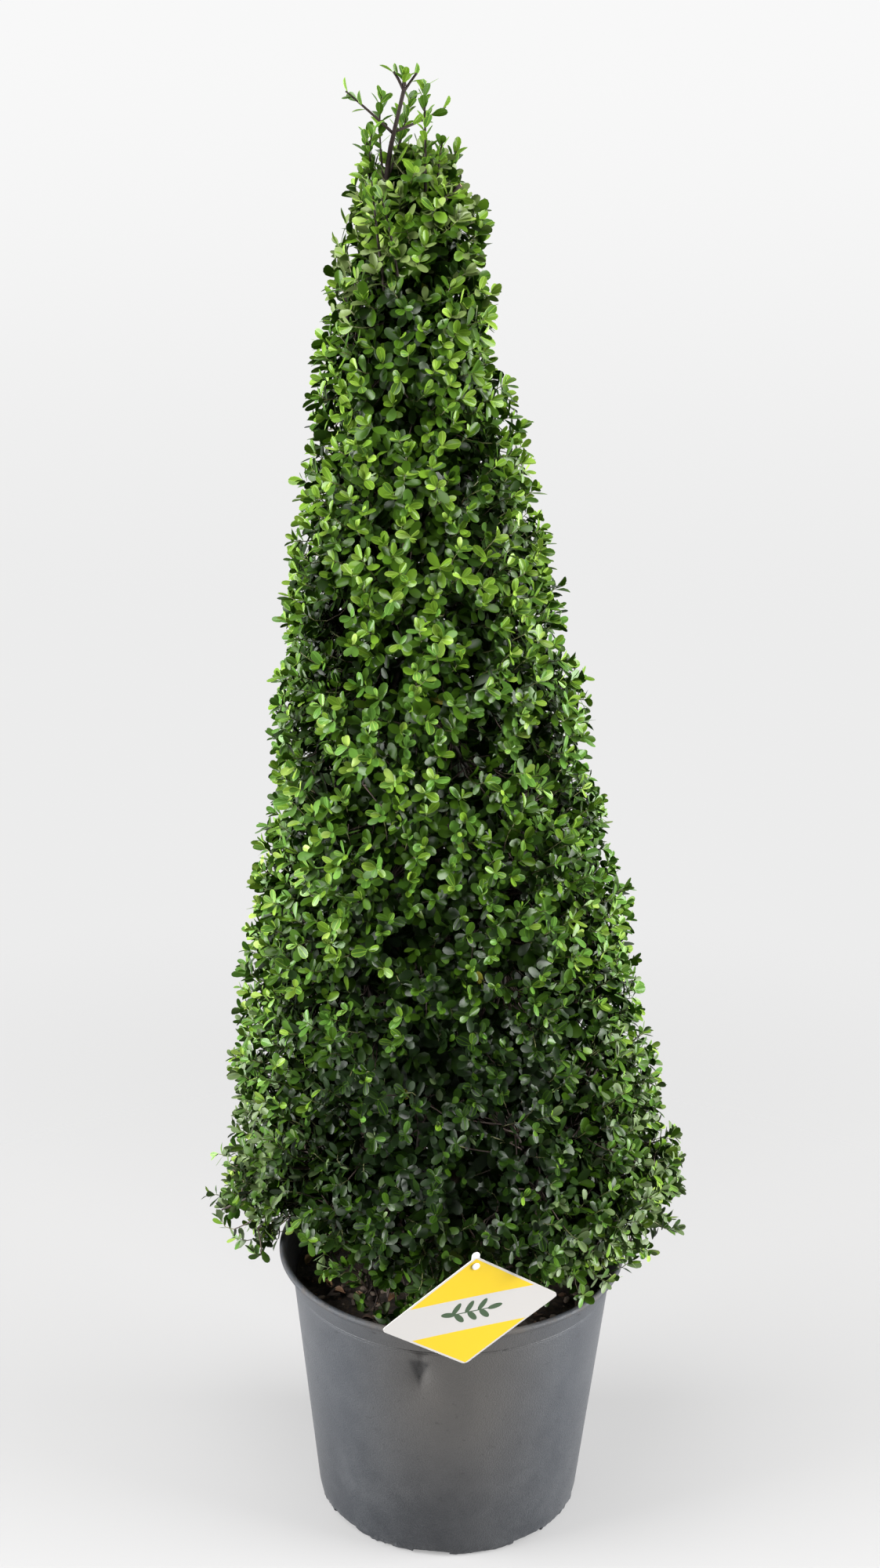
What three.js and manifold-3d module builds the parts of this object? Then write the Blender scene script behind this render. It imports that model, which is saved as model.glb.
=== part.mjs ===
// A Japanese holly clipped to a tall cone, growing in a round nursery pot with a diamond label on its rim.
// Millimetres, +Z up. The origin is the centre of the pot's flat underside, and -Y is the front.

import * as THREE from "three";
import { mergeVertices } from "three/addons/utils/BufferGeometryUtils.js";
import Module from "manifold-3d";

const wasm = await Module();
wasm.setup();

// Driving dimensions of the whole
const CLEARANCE = 0.3;
const WELD = 1e-4;
const DEGREE = Math.PI / 180;
const GOLDEN_ANGLE = Math.PI * (3 - Math.sqrt(5));

// Pot: a tapered wall, a thin ledge under a flared band, a rolled lip and drain slots round the foot
const POT_HEIGHT = 320;
const POT_FOOT_RADIUS = 153;
const POT_FOOT_ROUND = 6;
const POT_LEDGE_Z = 284;
const POT_WALL_RADIUS_AT_LEDGE = 184;
const POT_LEDGE_PROUD = 3.5;
const POT_LEDGE_THICK = 4;
const POT_LEDGE_CHAMFER = 1;
const POT_BAND_RADIUS = 186;
const POT_RIM_RADIUS = 200;
const POT_LIP_HEIGHT = 9;
const POT_LIP_WIDTH = 7.5;
const POT_LIP_HALF_FLAT = 1;
const POT_WALL = 3;
const POT_FLOOR = 4;
const POT_SEGMENTS = 36;
const DRAIN_SLOTS = 8;
const DRAIN_SLOT_WIDTH = 42;
const DRAIN_SLOT_HEIGHT = 6;
const DRAIN_SLOT_DEPTH = 16;
const DRAIN_SLOT_TURN = -97 * DEGREE;
const POT_FINISH = { color: 0x4b4f55, roughness: 0.45 };

// Soil
const SOIL_TOP = 286;
const SOIL_EDGE_DROP = 5;
const SOIL_SHOULDER = 16;
const SOIL_FINISH = { color: 0x2a211b, roughness: 0.95 };

// Trunk: leans to the left on its way up, then straightens in the bare leader at the top
const TRUNK_TOP = 1598;
const TRUNK_PATH = [
  new THREE.Vector3(6, 22, SOIL_TOP + CLEARANCE),
  new THREE.Vector3(4, 21, 400),
  new THREE.Vector3(-18, 18, 700),
  new THREE.Vector3(-50, 20, 1020),
  new THREE.Vector3(-85, 22, 1320),
  new THREE.Vector3(-86, 21, 1500),
  new THREE.Vector3(-66, 20, TRUNK_TOP),
];
const TRUNK_FOOT_RADIUS = 15;
const TRUNK_TIP_RADIUS = 1.8;
const ROOT_FLARE = 7;
const ROOT_FLARE_HEIGHT = 34;
const TRUNK_SIDES = 9;
const TRUNK_STEPS = 22;
const BARK_FINISH = { color: 0x56463a, roughness: 0.85 };

// Crown: the clipped outline, as a radius at each height round a leaning axis
const CROWN_BOTTOM = 318;
const CROWN_UNDERSIDE_RADIUS = 172;
const CROWN_WIDEST_Z = 425;
const CROWN_WIDEST_RADIUS = 265;
const CONE_TOP_Z = 1464;
const CONE_TOP_RADIUS = 72;
const CROWN_TOP = 1543;
const CROWN_LEAN = -0.063;
const CROWN_BACK = 22;
const CROWN_SLICES = 600;

// Masses: tiers of foliage from the pot up, each shared out round the trunk by upright walls
const TIERS = [
  { name: "skirt", foot: 300, sectors: 4, turn: 0, bare: 46 },
  { name: "lower", foot: 596, sectors: 3, turn: 30, bare: 40 },
  { name: "upper", foot: 918, sectors: 3, turn: 90, bare: 34 },
  { name: "shoulder", foot: 1246, sectors: 3, turn: 0, bare: 13 },
];
const SEAM_TILT = 9 * DEGREE;
const SEAM_GAP = 0.4;
const SHOULDER_CEILING = 1549;
const SOIL_WINDOW_AZIMUTH = 225;
const SOIL_WINDOW_Z = 384;
const SPACE_SIZE = 4000;

// Core of a mass, the dense dark wood and old leaves inside the leafy shell
const CORE_DEPTH_LOW = 27;
const CORE_DEPTH_HIGH = 17;
const CORE_INNER_SHARE = 0.2;
const CORE_HEIGHTS = [342, 380, 425, 540, 690, 840, 990, 1140, 1290, 1420, 1480, 1508];
const CORE_SEGMENTS = 22;
const CORE_LUMPS = 7;
const LUMP_WAVES = [
  { round: 4, rise: 60 },
  { round: 3, rise: -95 },
];

// Boughs and stems
const BOUGH_RISE = 0.8;
const BOUGH_ROOT_SHARE = 0.44;
const BOUGH_TIP_SHARE = 0.34;
const BOUGH_ENTRY_SHARE = 0.065;
const BOUGH_SIDES = 6;
const BOUGH_SEAT_GAP = 0.36;

// Low sprays that overhang the rim on either side, by azimuth, radius and height of their twig's tip
const LOW_SPRAYS = [
  { azimuth: 174, radius: 246, z: 354 },
  { azimuth: 189, radius: 254, z: 418 },
  { azimuth: 6, radius: 243, z: 352 },
  { azimuth: -7, radius: 250, z: 408 },
];
const LOW_SPRAY_PROUD = 75;

// Twigs and leaves
const TWIG_COUNT = 112;
const TWIG_TIP_RISE = 4;
const TWIG_WALL_MARGIN = 12;
const TWIG_ROOT_RADIUS = 3;
const TWIG_TIP_RADIUS = 1.7;
const TWIG_UPWARD = 0.4;
const TWIG_SIDES = 3;
const TWIG_STRAY = 0.1;
const CROWN_SEED = 7;
const LEAF_CLEAR_OF_LIMB = 1;
const LEAF_CLEAR_OVER_RIM = 9;
const LEAF_CLEAR_INSIDE_RIM = 20;
const LEAVES_A_TWIG = 4;
const LEAF_LENGTH_IN_DEPTHS = 2;
const LEAF_SIDES = 4;
const LEAF_WIDTH_SHARE = 0.58;
const LEAF_THICK_SHARE = 0.045;
const LEAF_CUP_SHARE = 0.1;
const LEAF_OBOVATE = 0.3;
const LEAF_SPREAD = 54 * DEGREE;
const LEAF_ROOT_SUNK = 1.5;
const LEAF_FIRST_NODE = 2;
const LEAF_NODE_STEP = 4;
const LEAF_PROUD = 9;
const LEAF_SPREAD_VARIES = 0.2;
const LEAF_LENGTH_VARIES = 0.15;
const LEAF_FINISH = { color: 0x3f6b2c, roughness: 0.5 };

// Shoots that stand up out of the clipped top
const SHOOT_RADIUS = 1.6;
const SHOOT_TAPER = 0.4;
const SHOOT_SIDES = 4;
const SHOOT_STEPS = 4;
const SHOOT_SEED = 23;
const SHOOT_LEAF_LENGTH = 25;
const SHOOT_LEAF_STEP = 11;
const UPRIGHT_SHOOT_FOOT = new THREE.Vector3(-44, -4, 1490);
const UPRIGHT_SHOOT_TIP = new THREE.Vector3(-47, -6, 1604);
const UPRIGHT_SHOOT_BARE_SHARE = 0.5;
const LEADER_SHOOT_BARE_SHARE = 0.35;
const LEFT_SHOOT_ROOT_Z = 1553;
const LEFT_SHOOT_BEND = new THREE.Vector3(-101, 17, 1578);
const LEFT_SHOOT_TIP = new THREE.Vector3(-122, 12, 1601);
const RIGHT_SHOOT_ROOT_Z = 1555;
const RIGHT_SHOOT_BEND = new THREE.Vector3(-46, 34, 1568);
const RIGHT_SHOOT_TIP = new THREE.Vector3(-26, 44, 1580);
const TUFT_STEM = new THREE.Vector3(2, 0, 9);
const TUFT_LEAVES = 5;
const TUFT_LEAF_LENGTH = 20;
const TUFT_SPREAD = 60 * DEGREE;
const SHOOT_FINISH = { color: 0x4a6f33, roughness: 0.5 };

// Where the spaces of the shoots part: the upright one in front, the left one beyond a slanting line,
// the tuft over the right one
const SHOOT_SPLIT_Y = 8;
const SHOOT_SPLIT_X = -83.5;
const SHOOT_SPLIT_Z = 1591.5;
const SHOOT_SPLIT_SLOPE = 0.6;
const SHOOT_SPLIT_GAP = 0.5;

// Label: a diamond card, turned a little on a white clip that hooks over the front of the rim
const LABEL_AZIMUTH = -85.5 * DEGREE;
const LABEL_FACING = -72.4 * DEGREE;
const LABEL_LEAN = 10 * DEGREE;
const LABEL_WIDTH = 193;
const LABEL_HEIGHT = 147;
const LABEL_THICK = 1;
const LABEL_CORNER = 0.06;
const LABEL_CORNER_STEPS = 5;
const LABEL_OFF_RIM = 10;
const LABEL_RIM_Z = 316;
const LABEL_CENTRE_UP = 46;
const LABEL_HOLE_RADIUS = 3;
const LABEL_HOLE_INSET = 12;
const LABEL_CLEAR_ACROSS = 120;
const LABEL_CLEAR_ALONG = 98;
const LABEL_CLEAR_BEHIND = 14;
const LABEL_FINISH = { color: 0xf1efe6, roughness: 0.35 };
const CLIP_WIDTH = 11;
const CLIP_THICK = 1.5;
const CLIP_TAB = 5;
const CLIP_HOOK_Y = -43.79;
const CLIP_HOOK_REACH = 24;
const CLIP_HOOK_LEG = 13;
const CLIP_FOOT_Y = -58;
const CLIP_PIN_RADIUS = 2.4;
const CLIP_BUTTON_RADIUS = 5;
const CLIP_BUTTON_THICK = 1.2;
const CLIP_ROUND_SIDES = 14;
const CLIP_FINISH = { color: 0xf6f6f4, roughness: 0.4 };

const UP = new THREE.Vector3(0, 0, 1);
const RIGHT = new THREE.Vector3(1, 0, 0);
const holly = new THREE.Group();

// Repeatable random numbers from 0 to 1
function seededRandom(seed) {
  const factor = 1664525;
  const step = 1013904223;
  const range = 2 ** 32;
  let state = seed;
  return () => {
    state = (state * factor + step) % range;
    return state / range;
  };
}

// A factor near 1 that strays by a share to either side
function about(share, random) {
  return 1 + share * (2 * random() - 1);
}

// A closed geometry as a solid that can be joined and cut
function solidFrom(geometry) {
  const bare = geometry.clone();
  bare.deleteAttribute("normal");
  bare.deleteAttribute("uv");
  const welded = mergeVertices(bare, WELD);
  const mesh = new wasm.Mesh({
    numProp: 3,
    vertProperties: new Float32Array(welded.getAttribute("position").array),
    triVerts: new Uint32Array(welded.getIndex().array),
  });
  return new wasm.Manifold(mesh);
}

// The largest body of a solid, without loose scraps and sealed hollows
function mainBody(solid) {
  const bodies = solid.decompose();
  return bodies.reduce((best, body) => (body.volume() > best.volume() ? body : best));
}

function geometryFrom(solid) {
  const mesh = solid.getMesh();
  const geometry = new THREE.BufferGeometry();
  geometry.setAttribute("position", new THREE.BufferAttribute(new Float32Array(mesh.vertProperties), 3));
  geometry.setIndex(new THREE.BufferAttribute(new Uint32Array(mesh.triVerts), 1));
  geometry.computeVertexNormals();
  return geometry;
}

function addPiece(parent, name, solid, finish) {
  const material = new THREE.MeshStandardMaterial({ ...finish, metalness: 0 });
  const piece = new THREE.Mesh(geometryFrom(solid), material);
  piece.name = name;
  parent.add(piece);
}

// A profile of radius and height turned about the Z axis
function turned(profile) {
  return solidFrom(new THREE.LatheGeometry(profile, POT_SEGMENTS).rotateX(Math.PI / 2));
}

// A tapering limb along a curve: a cylinder's rings moved onto the curve
function limb(curve, radiusAt, sides, steps, levelRings = false) {
  const geometry = new THREE.CylinderGeometry(1, 1, 1, sides, steps);
  const frames = curve.computeFrenetFrames(steps, false);
  const position = geometry.getAttribute("position");
  const point = new THREE.Vector3();
  for (let i = 0; i < position.count; i += 1) {
    const share = THREE.MathUtils.clamp(position.getY(i) + 0.5, 0, 1);
    const ring = Math.round(share * steps);
    const radius = radiusAt(share);
    const first = levelRings ? new THREE.Vector3(1, 0, 0) : frames.normals[ring];
    const second = levelRings ? new THREE.Vector3(0, 1, 0) : frames.binormals[ring];
    point.copy(curve.getPointAt(share));
    point.addScaledVector(first, position.getZ(i) * radius);
    point.addScaledVector(second, position.getX(i) * radius);
    position.setXYZ(i, point.x, point.y, point.z);
  }
  return solidFrom(geometry);
}

function straightLimb(from, to, rootRadius, tipRadius, sides) {
  const radiusAt = (share) => THREE.MathUtils.lerp(rootRadius, tipRadius, share);
  return limb(new THREE.LineCurve3(from, to), radiusAt, sides, 1);
}

// Pot
function potWallRadius(z) {
  const share = z / POT_LEDGE_Z;
  return THREE.MathUtils.lerp(POT_FOOT_RADIUS, POT_WALL_RADIUS_AT_LEDGE, share);
}

function potProfile() {
  const lipFoot = POT_HEIGHT - POT_LIP_HEIGHT;
  const lipMiddle = POT_HEIGHT - POT_LIP_HEIGHT / 2;
  const ledgeRadius = POT_WALL_RADIUS_AT_LEDGE + POT_LEDGE_PROUD;
  const ledgeTop = POT_LEDGE_Z + POT_LEDGE_THICK;
  const lipInner = POT_RIM_RADIUS - POT_LIP_WIDTH;
  const lipRound = POT_LIP_WIDTH / 2;
  const outline = new THREE.Path();
  outline.moveTo(0, 0);
  outline.lineTo(POT_FOOT_RADIUS - POT_FOOT_ROUND, 0);
  outline.lineTo(potWallRadius(POT_FOOT_ROUND), POT_FOOT_ROUND);
  outline.lineTo(potWallRadius(POT_LEDGE_Z), POT_LEDGE_Z);
  outline.lineTo(ledgeRadius, POT_LEDGE_Z + POT_LEDGE_CHAMFER);
  outline.lineTo(ledgeRadius, ledgeTop - POT_LEDGE_CHAMFER);
  outline.lineTo(POT_BAND_RADIUS, ledgeTop);
  outline.lineTo(POT_RIM_RADIUS - lipRound, lipFoot);
  outline.lineTo(POT_RIM_RADIUS, lipMiddle - POT_LIP_HALF_FLAT);
  outline.lineTo(POT_RIM_RADIUS, lipMiddle + POT_LIP_HALF_FLAT);
  outline.lineTo(POT_RIM_RADIUS - lipRound / 2, POT_HEIGHT);
  outline.lineTo(lipInner + lipRound / 2, POT_HEIGHT);
  outline.lineTo(lipInner, lipMiddle);
  outline.lineTo(POT_BAND_RADIUS - POT_WALL, ledgeTop);
  outline.lineTo(potWallRadius(POT_FLOOR) - POT_WALL, POT_FLOOR);
  outline.lineTo(0, POT_FLOOR);
  return outline.getPoints(1);
}

function makePot() {
  let pot = turned(potProfile());
  for (let i = 0; i < DRAIN_SLOTS; i += 1) {
    const slot = new THREE.BoxGeometry(DRAIN_SLOT_DEPTH, DRAIN_SLOT_WIDTH, DRAIN_SLOT_HEIGHT * 2);
    slot.translate(POT_FOOT_RADIUS, 0, 0);
    slot.rotateZ(DRAIN_SLOT_TURN + (i * 2 * Math.PI) / DRAIN_SLOTS);
    pot = pot.subtract(solidFrom(slot));
  }
  addPiece(holly, "pot", pot, POT_FINISH);
}

// Soil that fills the pot to just under the ledge
function makeSoil() {
  const foot = POT_FLOOR + CLEARANCE;
  const side = (z) => potWallRadius(z) - POT_WALL - 2 * CLEARANCE;
  const edge = SOIL_TOP - SOIL_EDGE_DROP;
  const profile = [
    new THREE.Vector2(0, foot),
    new THREE.Vector2(side(foot) - DRAIN_SLOT_DEPTH / 2, foot),
    new THREE.Vector2(side(foot + DRAIN_SLOT_HEIGHT), foot + DRAIN_SLOT_HEIGHT),
    new THREE.Vector2(side(edge), edge),
    new THREE.Vector2(side(edge) - SOIL_SHOULDER, SOIL_TOP),
    new THREE.Vector2(0, SOIL_TOP),
  ];
  addPiece(holly, "soil", turned(profile), SOIL_FINISH);
}

// Trunk
const trunkCurve = new THREE.CatmullRomCurve3(TRUNK_PATH);

function trunkRadius(z) {
  const share = (z - SOIL_TOP) / (TRUNK_TOP - SOIL_TOP);
  const flare = ROOT_FLARE * Math.exp(-(z - SOIL_TOP) / ROOT_FLARE_HEIGHT);
  return THREE.MathUtils.lerp(TRUNK_FOOT_RADIUS, TRUNK_TIP_RADIUS, share) + flare;
}

// The trunk's centre at a height, found by halving
function trunkAt(z) {
  const halvings = 30;
  let low = 0;
  let high = 1;
  for (let i = 0; i < halvings; i += 1) {
    const middle = (low + high) / 2;
    if (trunkCurve.getPointAt(middle).z < z) {
      low = middle;
    } else {
      high = middle;
    }
  }
  return trunkCurve.getPointAt(low);
}

function trunkSolid(extra) {
  const radiusAt = (share) => trunkRadius(trunkCurve.getPointAt(share).z) + extra;
  return limb(trunkCurve, radiusAt, TRUNK_SIDES, TRUNK_STEPS, true);
}

const trunkSeat = trunkSolid(BOUGH_SEAT_GAP);

function clearOfTrunk(point, margin) {
  if (point.z > TRUNK_TOP + margin) {
    return true;
  }
  const centre = trunkAt(point.z);
  return Math.hypot(point.x - centre.x, point.y - centre.y) > trunkRadius(point.z) + margin;
}

// Crown outline
function crownRadius(z) {
  if (z <= CROWN_BOTTOM || z >= CROWN_TOP) {
    return 0;
  }
  if (z < CROWN_WIDEST_Z) {
    const share = (z - CROWN_BOTTOM) / (CROWN_WIDEST_Z - CROWN_BOTTOM);
    const curved = Math.sin((share * Math.PI) / 2);
    return THREE.MathUtils.lerp(CROWN_UNDERSIDE_RADIUS, CROWN_WIDEST_RADIUS, curved);
  }
  if (z < CONE_TOP_Z) {
    const share = (z - CROWN_WIDEST_Z) / (CONE_TOP_Z - CROWN_WIDEST_Z);
    return THREE.MathUtils.lerp(CROWN_WIDEST_RADIUS, CONE_TOP_RADIUS, share);
  }
  const share = (z - CONE_TOP_Z) / (CROWN_TOP - CONE_TOP_Z);
  return CONE_TOP_RADIUS * Math.sqrt(1 - share * share);
}

function crownAxisX(z) {
  return CROWN_LEAN * (z - CROWN_WIDEST_Z);
}

// Slope of the outline, as the outward normal's parts along the radius and along Z
function crownNormal(z) {
  const step = 1;
  const rise = (crownRadius(z + step) - crownRadius(z - step)) / (2 * step);
  const length = Math.hypot(1, rise);
  return { radial: 1 / length, upward: -rise / length };
}

function coreDepth(z) {
  const share = (z - CROWN_WIDEST_Z) / (CONE_TOP_Z - CROWN_WIDEST_Z);
  return THREE.MathUtils.lerp(CORE_DEPTH_LOW, CORE_DEPTH_HIGH, THREE.MathUtils.clamp(share, 0, 1));
}

// How far a point lies inside the clipped outline
function depthInCrown(point) {
  const radius = Math.hypot(point.x - crownAxisX(point.z), point.y - CROWN_BACK);
  const z = THREE.MathUtils.clamp(point.z, CROWN_BOTTOM + 2, CROWN_TOP - 2);
  const inward = (crownRadius(z) - radius) * crownNormal(z).radial;
  return Math.min(inward, point.z - CROWN_BOTTOM, CROWN_TOP - point.z);
}

// Points spread evenly over the clipped surface, closer where the leafy shell is thinner,
// each with the way that its twig faces
function crownLattice(count, random) {
  const heightOf = (slice) => THREE.MathUtils.lerp(CROWN_BOTTOM + 1, CROWN_TOP - 1, slice / CROWN_SLICES);
  const areas = [0];
  for (let i = 1; i <= CROWN_SLICES; i += 1) {
    const low = crownRadius(heightOf(i - 1));
    const high = crownRadius(heightOf(i));
    const slant = Math.hypot(heightOf(i) - heightOf(i - 1), high - low);
    const crowding = (CORE_DEPTH_LOW / coreDepth(heightOf(i))) ** 2;
    areas.push(areas[i - 1] + ((low + high) / 2) * slant * crowding);
  }
  const spots = [];
  for (let k = 0; k < count; k += 1) {
    const wanted = ((k + 0.5) / count) * areas[CROWN_SLICES];
    const z = heightOf(areas.findIndex((area) => area >= wanted));
    const azimuth = k * GOLDEN_ANGLE + TWIG_STRAY * (2 * random() - 1);
    const slope = crownNormal(z);
    const outward = new THREE.Vector3(
      Math.cos(azimuth) * slope.radial,
      Math.sin(azimuth) * slope.radial,
      slope.upward,
    );
    const radius = crownRadius(z);
    const surface = new THREE.Vector3(
      crownAxisX(z) + Math.cos(azimuth) * radius,
      CROWN_BACK + Math.sin(azimuth) * radius,
      z,
    );
    const tip = surface.addScaledVector(outward, TWIG_TIP_RISE - coreDepth(z));
    const facing = outward.addScaledVector(UP, TWIG_UPWARD).normalize();
    spots.push({ tip, facing, proud: LEAF_PROUD });
  }
  return spots;
}

function lowSprays() {
  return LOW_SPRAYS.map(({ azimuth, radius, z }) => {
    const facing = new THREE.Vector3(Math.cos(azimuth * DEGREE), Math.sin(azimuth * DEGREE), 0);
    const tip = new THREE.Vector3(crownAxisX(z), CROWN_BACK, z).addScaledVector(facing, radius);
    return { tip, facing, proud: LOW_SPRAY_PROUD };
  });
}

// Label placement, also used to keep leaves off the card
const labelOut = new THREE.Vector3(
  Math.cos(LABEL_FACING) * Math.cos(LABEL_LEAN),
  Math.sin(LABEL_FACING) * Math.cos(LABEL_LEAN),
  -Math.sin(LABEL_LEAN),
);
const labelUp = new THREE.Vector3(
  Math.cos(LABEL_FACING) * Math.sin(LABEL_LEAN),
  Math.sin(LABEL_FACING) * Math.sin(LABEL_LEAN),
  Math.cos(LABEL_LEAN),
);
const labelRight = new THREE.Vector3().crossVectors(labelUp, labelOut);
const labelCentre = new THREE.Vector3(
  Math.cos(LABEL_AZIMUTH) * (POT_RIM_RADIUS + LABEL_OFF_RIM),
  Math.sin(LABEL_AZIMUTH) * (POT_RIM_RADIUS + LABEL_OFF_RIM),
  LABEL_RIM_Z,
).addScaledVector(labelUp, LABEL_CENTRE_UP);

// Leaves keep out of a diamond a little larger than the card, from just behind it outwards
function clearOfLabel(point) {
  const offset = point.clone().sub(labelCentre);
  const across = Math.abs(offset.dot(labelRight)) / LABEL_CLEAR_ACROSS;
  const along = Math.abs(offset.dot(labelUp)) / LABEL_CLEAR_ALONG;
  return across + along > 1 || offset.dot(labelOut) < -LABEL_CLEAR_BEHIND;
}

// Leaves pass over the rim or stay well inside it
function clearOfPot(point) {
  const radius = Math.hypot(point.x, point.y);
  return point.z > POT_HEIGHT + LEAF_CLEAR_OVER_RIM || radius < POT_RIM_RADIUS - LEAF_CLEAR_INSIDE_RIM;
}

// A leaf: a flat sphere of few sides, pulled out to a blunt egg shape and cupped along its middle
function leafGeometry(root, along, face, length) {
  const geometry = new THREE.SphereGeometry(1, LEAF_SIDES, 2);
  const position = geometry.getAttribute("position");
  const across = new THREE.Vector3().crossVectors(along, face);
  const halfWidth = (length * LEAF_WIDTH_SHARE) / 2;
  const point = new THREE.Vector3();
  for (let i = 0; i < position.count; i += 1) {
    const lengthwise = position.getX(i);
    const sideways = position.getZ(i);
    const bulge = (position.getY(i) * length * LEAF_THICK_SHARE) / 2;
    const cup = sideways * sideways * length * LEAF_CUP_SHARE;
    point.copy(root);
    point.addScaledVector(along, ((1 + lengthwise) / 2) * length);
    point.addScaledVector(across, sideways * halfWidth * (1 + LEAF_OBOVATE * lengthwise));
    point.addScaledVector(face, bulge + cup);
    position.setXYZ(i, point.x, point.y, point.z);
  }
  return geometry;
}

function everyPoint(geometry, test) {
  const position = geometry.getAttribute("position");
  const point = new THREE.Vector3();
  for (let i = 0; i < position.count; i += 1) {
    if (!test(point.fromBufferAttribute(position, i))) {
      return false;
    }
  }
  return true;
}

// A leaf that leaves a twig at a slant, with its face towards the twig's own direction
function leafOnTwig(node, heading, turn, spread, length) {
  const steep = Math.abs(heading.z) > 0.9;
  const first = new THREE.Vector3().crossVectors(heading, steep ? RIGHT : UP).normalize();
  const away = first.applyAxisAngle(heading, turn);
  const along = heading.clone().multiplyScalar(Math.cos(spread)).addScaledVector(away, Math.sin(spread));
  const face = heading.clone().multiplyScalar(Math.sin(spread)).addScaledVector(away, -Math.cos(spread));
  const root = node.clone().addScaledVector(along, -LEAF_ROOT_SUNK);
  return leafGeometry(root, along, face, length);
}

// The slanting wall under a tier, through the trunk
function seamUnder(index) {
  const tier = TIERS[index];
  const tilt = index === 0 ? 0 : SEAM_TILT;
  const azimuth = index * GOLDEN_ANGLE;
  const normal = new THREE.Vector3(
    Math.sin(tilt) * Math.cos(azimuth),
    Math.sin(tilt) * Math.sin(azimuth),
    Math.cos(tilt),
  );
  const through = trunkAt(tier.foot);
  through.z = tier.foot;
  return new THREE.Plane().setFromNormalAndCoplanarPoint(normal, through);
}

function heightOnPlane(plane, x, y) {
  return -(plane.normal.x * x + plane.normal.y * y + plane.constant) / plane.normal.z;
}

// The convex space of one mass: two upright walls, a wall clear of the trunk, a floor and a ceiling
function massSpace(tierIndex, sector) {
  const tier = TIERS[tierIndex];
  const next = TIERS[tierIndex + 1];
  const top = next ? next.foot : SHOULDER_CEILING;
  const centre = trunkAt((tier.foot + top) / 2);
  const step = 360 / tier.sectors;
  const start = (tier.turn + sector * step) * DEGREE;
  const end = start + step * DEGREE;
  const middle = (start + end) / 2;
  const outward = new THREE.Vector3(Math.cos(middle), Math.sin(middle), 0);
  const inner = centre.clone().addScaledVector(outward, tier.bare);
  const wall = (x, y, z, through) => {
    return new THREE.Plane().setFromNormalAndCoplanarPoint(new THREE.Vector3(x, y, z), through);
  };
  const innerWall = wall(outward.x, outward.y, 0, inner);
  const floor = seamUnder(tierIndex);
  const ceiling = next ? seamUnder(tierIndex + 1).negate() : wall(0, 0, -1, new THREE.Vector3(0, 0, top));
  const walls = [
    wall(-Math.sin(start), Math.cos(start), 0, centre),
    wall(Math.sin(end), -Math.cos(end), 0, centre),
    floor,
    ceiling,
  ];
  let low = Math.max(CROWN_BOTTOM, tier.foot);
  const windowed = tierIndex === 0 && Math.abs(middle / DEGREE - SOIL_WINDOW_AZIMUTH) < step / 4;
  if (windowed) {
    low = SOIL_WINDOW_Z;
    walls.push(wall(0, 0, 1, new THREE.Vector3(0, 0, low)));
  }
  const reach = (tier.bare + crownRadius((low + top) / 2) - CORE_DEPTH_LOW) / 2;
  const heart = centre.clone().addScaledVector(outward, reach);
  const heartFloor = tierIndex === 0 ? low : heightOnPlane(floor, heart.x, heart.y);
  heart.z = (heartFloor + heightOnPlane(ceiling, heart.x, heart.y)) / 2;
  const name = `${tier.name}_${sector + 1}`;
  return { name, walls, innerWall, ceiling, heart, outward, centre, bare: tier.bare };
}

function holds(space, point, margin) {
  const inWalls = space.walls.every((plane) => plane.distanceToPoint(point) > margin);
  return inWalls && space.innerWall.distanceToPoint(point) > margin;
}

// Everything on the inner side of a wall, from a gap behind it
function halfSpace(plane, gap) {
  const block = new THREE.BoxGeometry(SPACE_SIZE, SPACE_SIZE, SPACE_SIZE);
  block.translate(0, 0, SPACE_SIZE / 2);
  block.applyQuaternion(new THREE.Quaternion().setFromUnitVectors(UP, plane.normal));
  const foot = plane.coplanarPoint(new THREE.Vector3()).addScaledVector(plane.normal, gap);
  block.translate(foot.x, foot.y, foot.z);
  return solidFrom(block);
}

// The dense inside of the whole crown: the clipped outline drawn in, with soft lumps
function crownCore() {
  const profile = CORE_HEIGHTS.map((z) => {
    const depth = coreDepth(z) / crownNormal(z).radial;
    return new THREE.Vector2(Math.max(crownRadius(z) - depth, CORE_DEPTH_HIGH), z);
  });
  profile.unshift(new THREE.Vector2(0, CORE_HEIGHTS[0]));
  profile.push(new THREE.Vector2(0, CORE_HEIGHTS[CORE_HEIGHTS.length - 1]));
  const geometry = new THREE.LatheGeometry(profile, CORE_SEGMENTS).rotateX(Math.PI / 2);
  const position = geometry.getAttribute("position");
  for (let i = 0; i < position.count; i += 1) {
    const z = position.getZ(i);
    const radius = Math.hypot(position.getX(i), position.getY(i));
    const azimuth = Math.atan2(position.getY(i), position.getX(i));
    const waves = LUMP_WAVES.map(({ round, rise }) => Math.sin(round * azimuth + z / rise));
    const lump = CORE_LUMPS * waves[0] * waves[1];
    const swollen = radius > CORE_LUMPS * 2 ? 1 + lump / radius : 1;
    const x = position.getX(i) * swollen + crownAxisX(z);
    position.setXYZ(i, x, position.getY(i) * swollen + CROWN_BACK, z);
  }
  return solidFrom(geometry);
}

const wholeCore = crownCore();

function coreSolid(space) {
  let core = wholeCore.intersect(halfSpace(space.innerWall, space.bare * CORE_INNER_SHARE));
  space.walls.forEach((plane) => {
    core = core.intersect(halfSpace(plane, SEAM_GAP));
  });
  return core;
}

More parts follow.
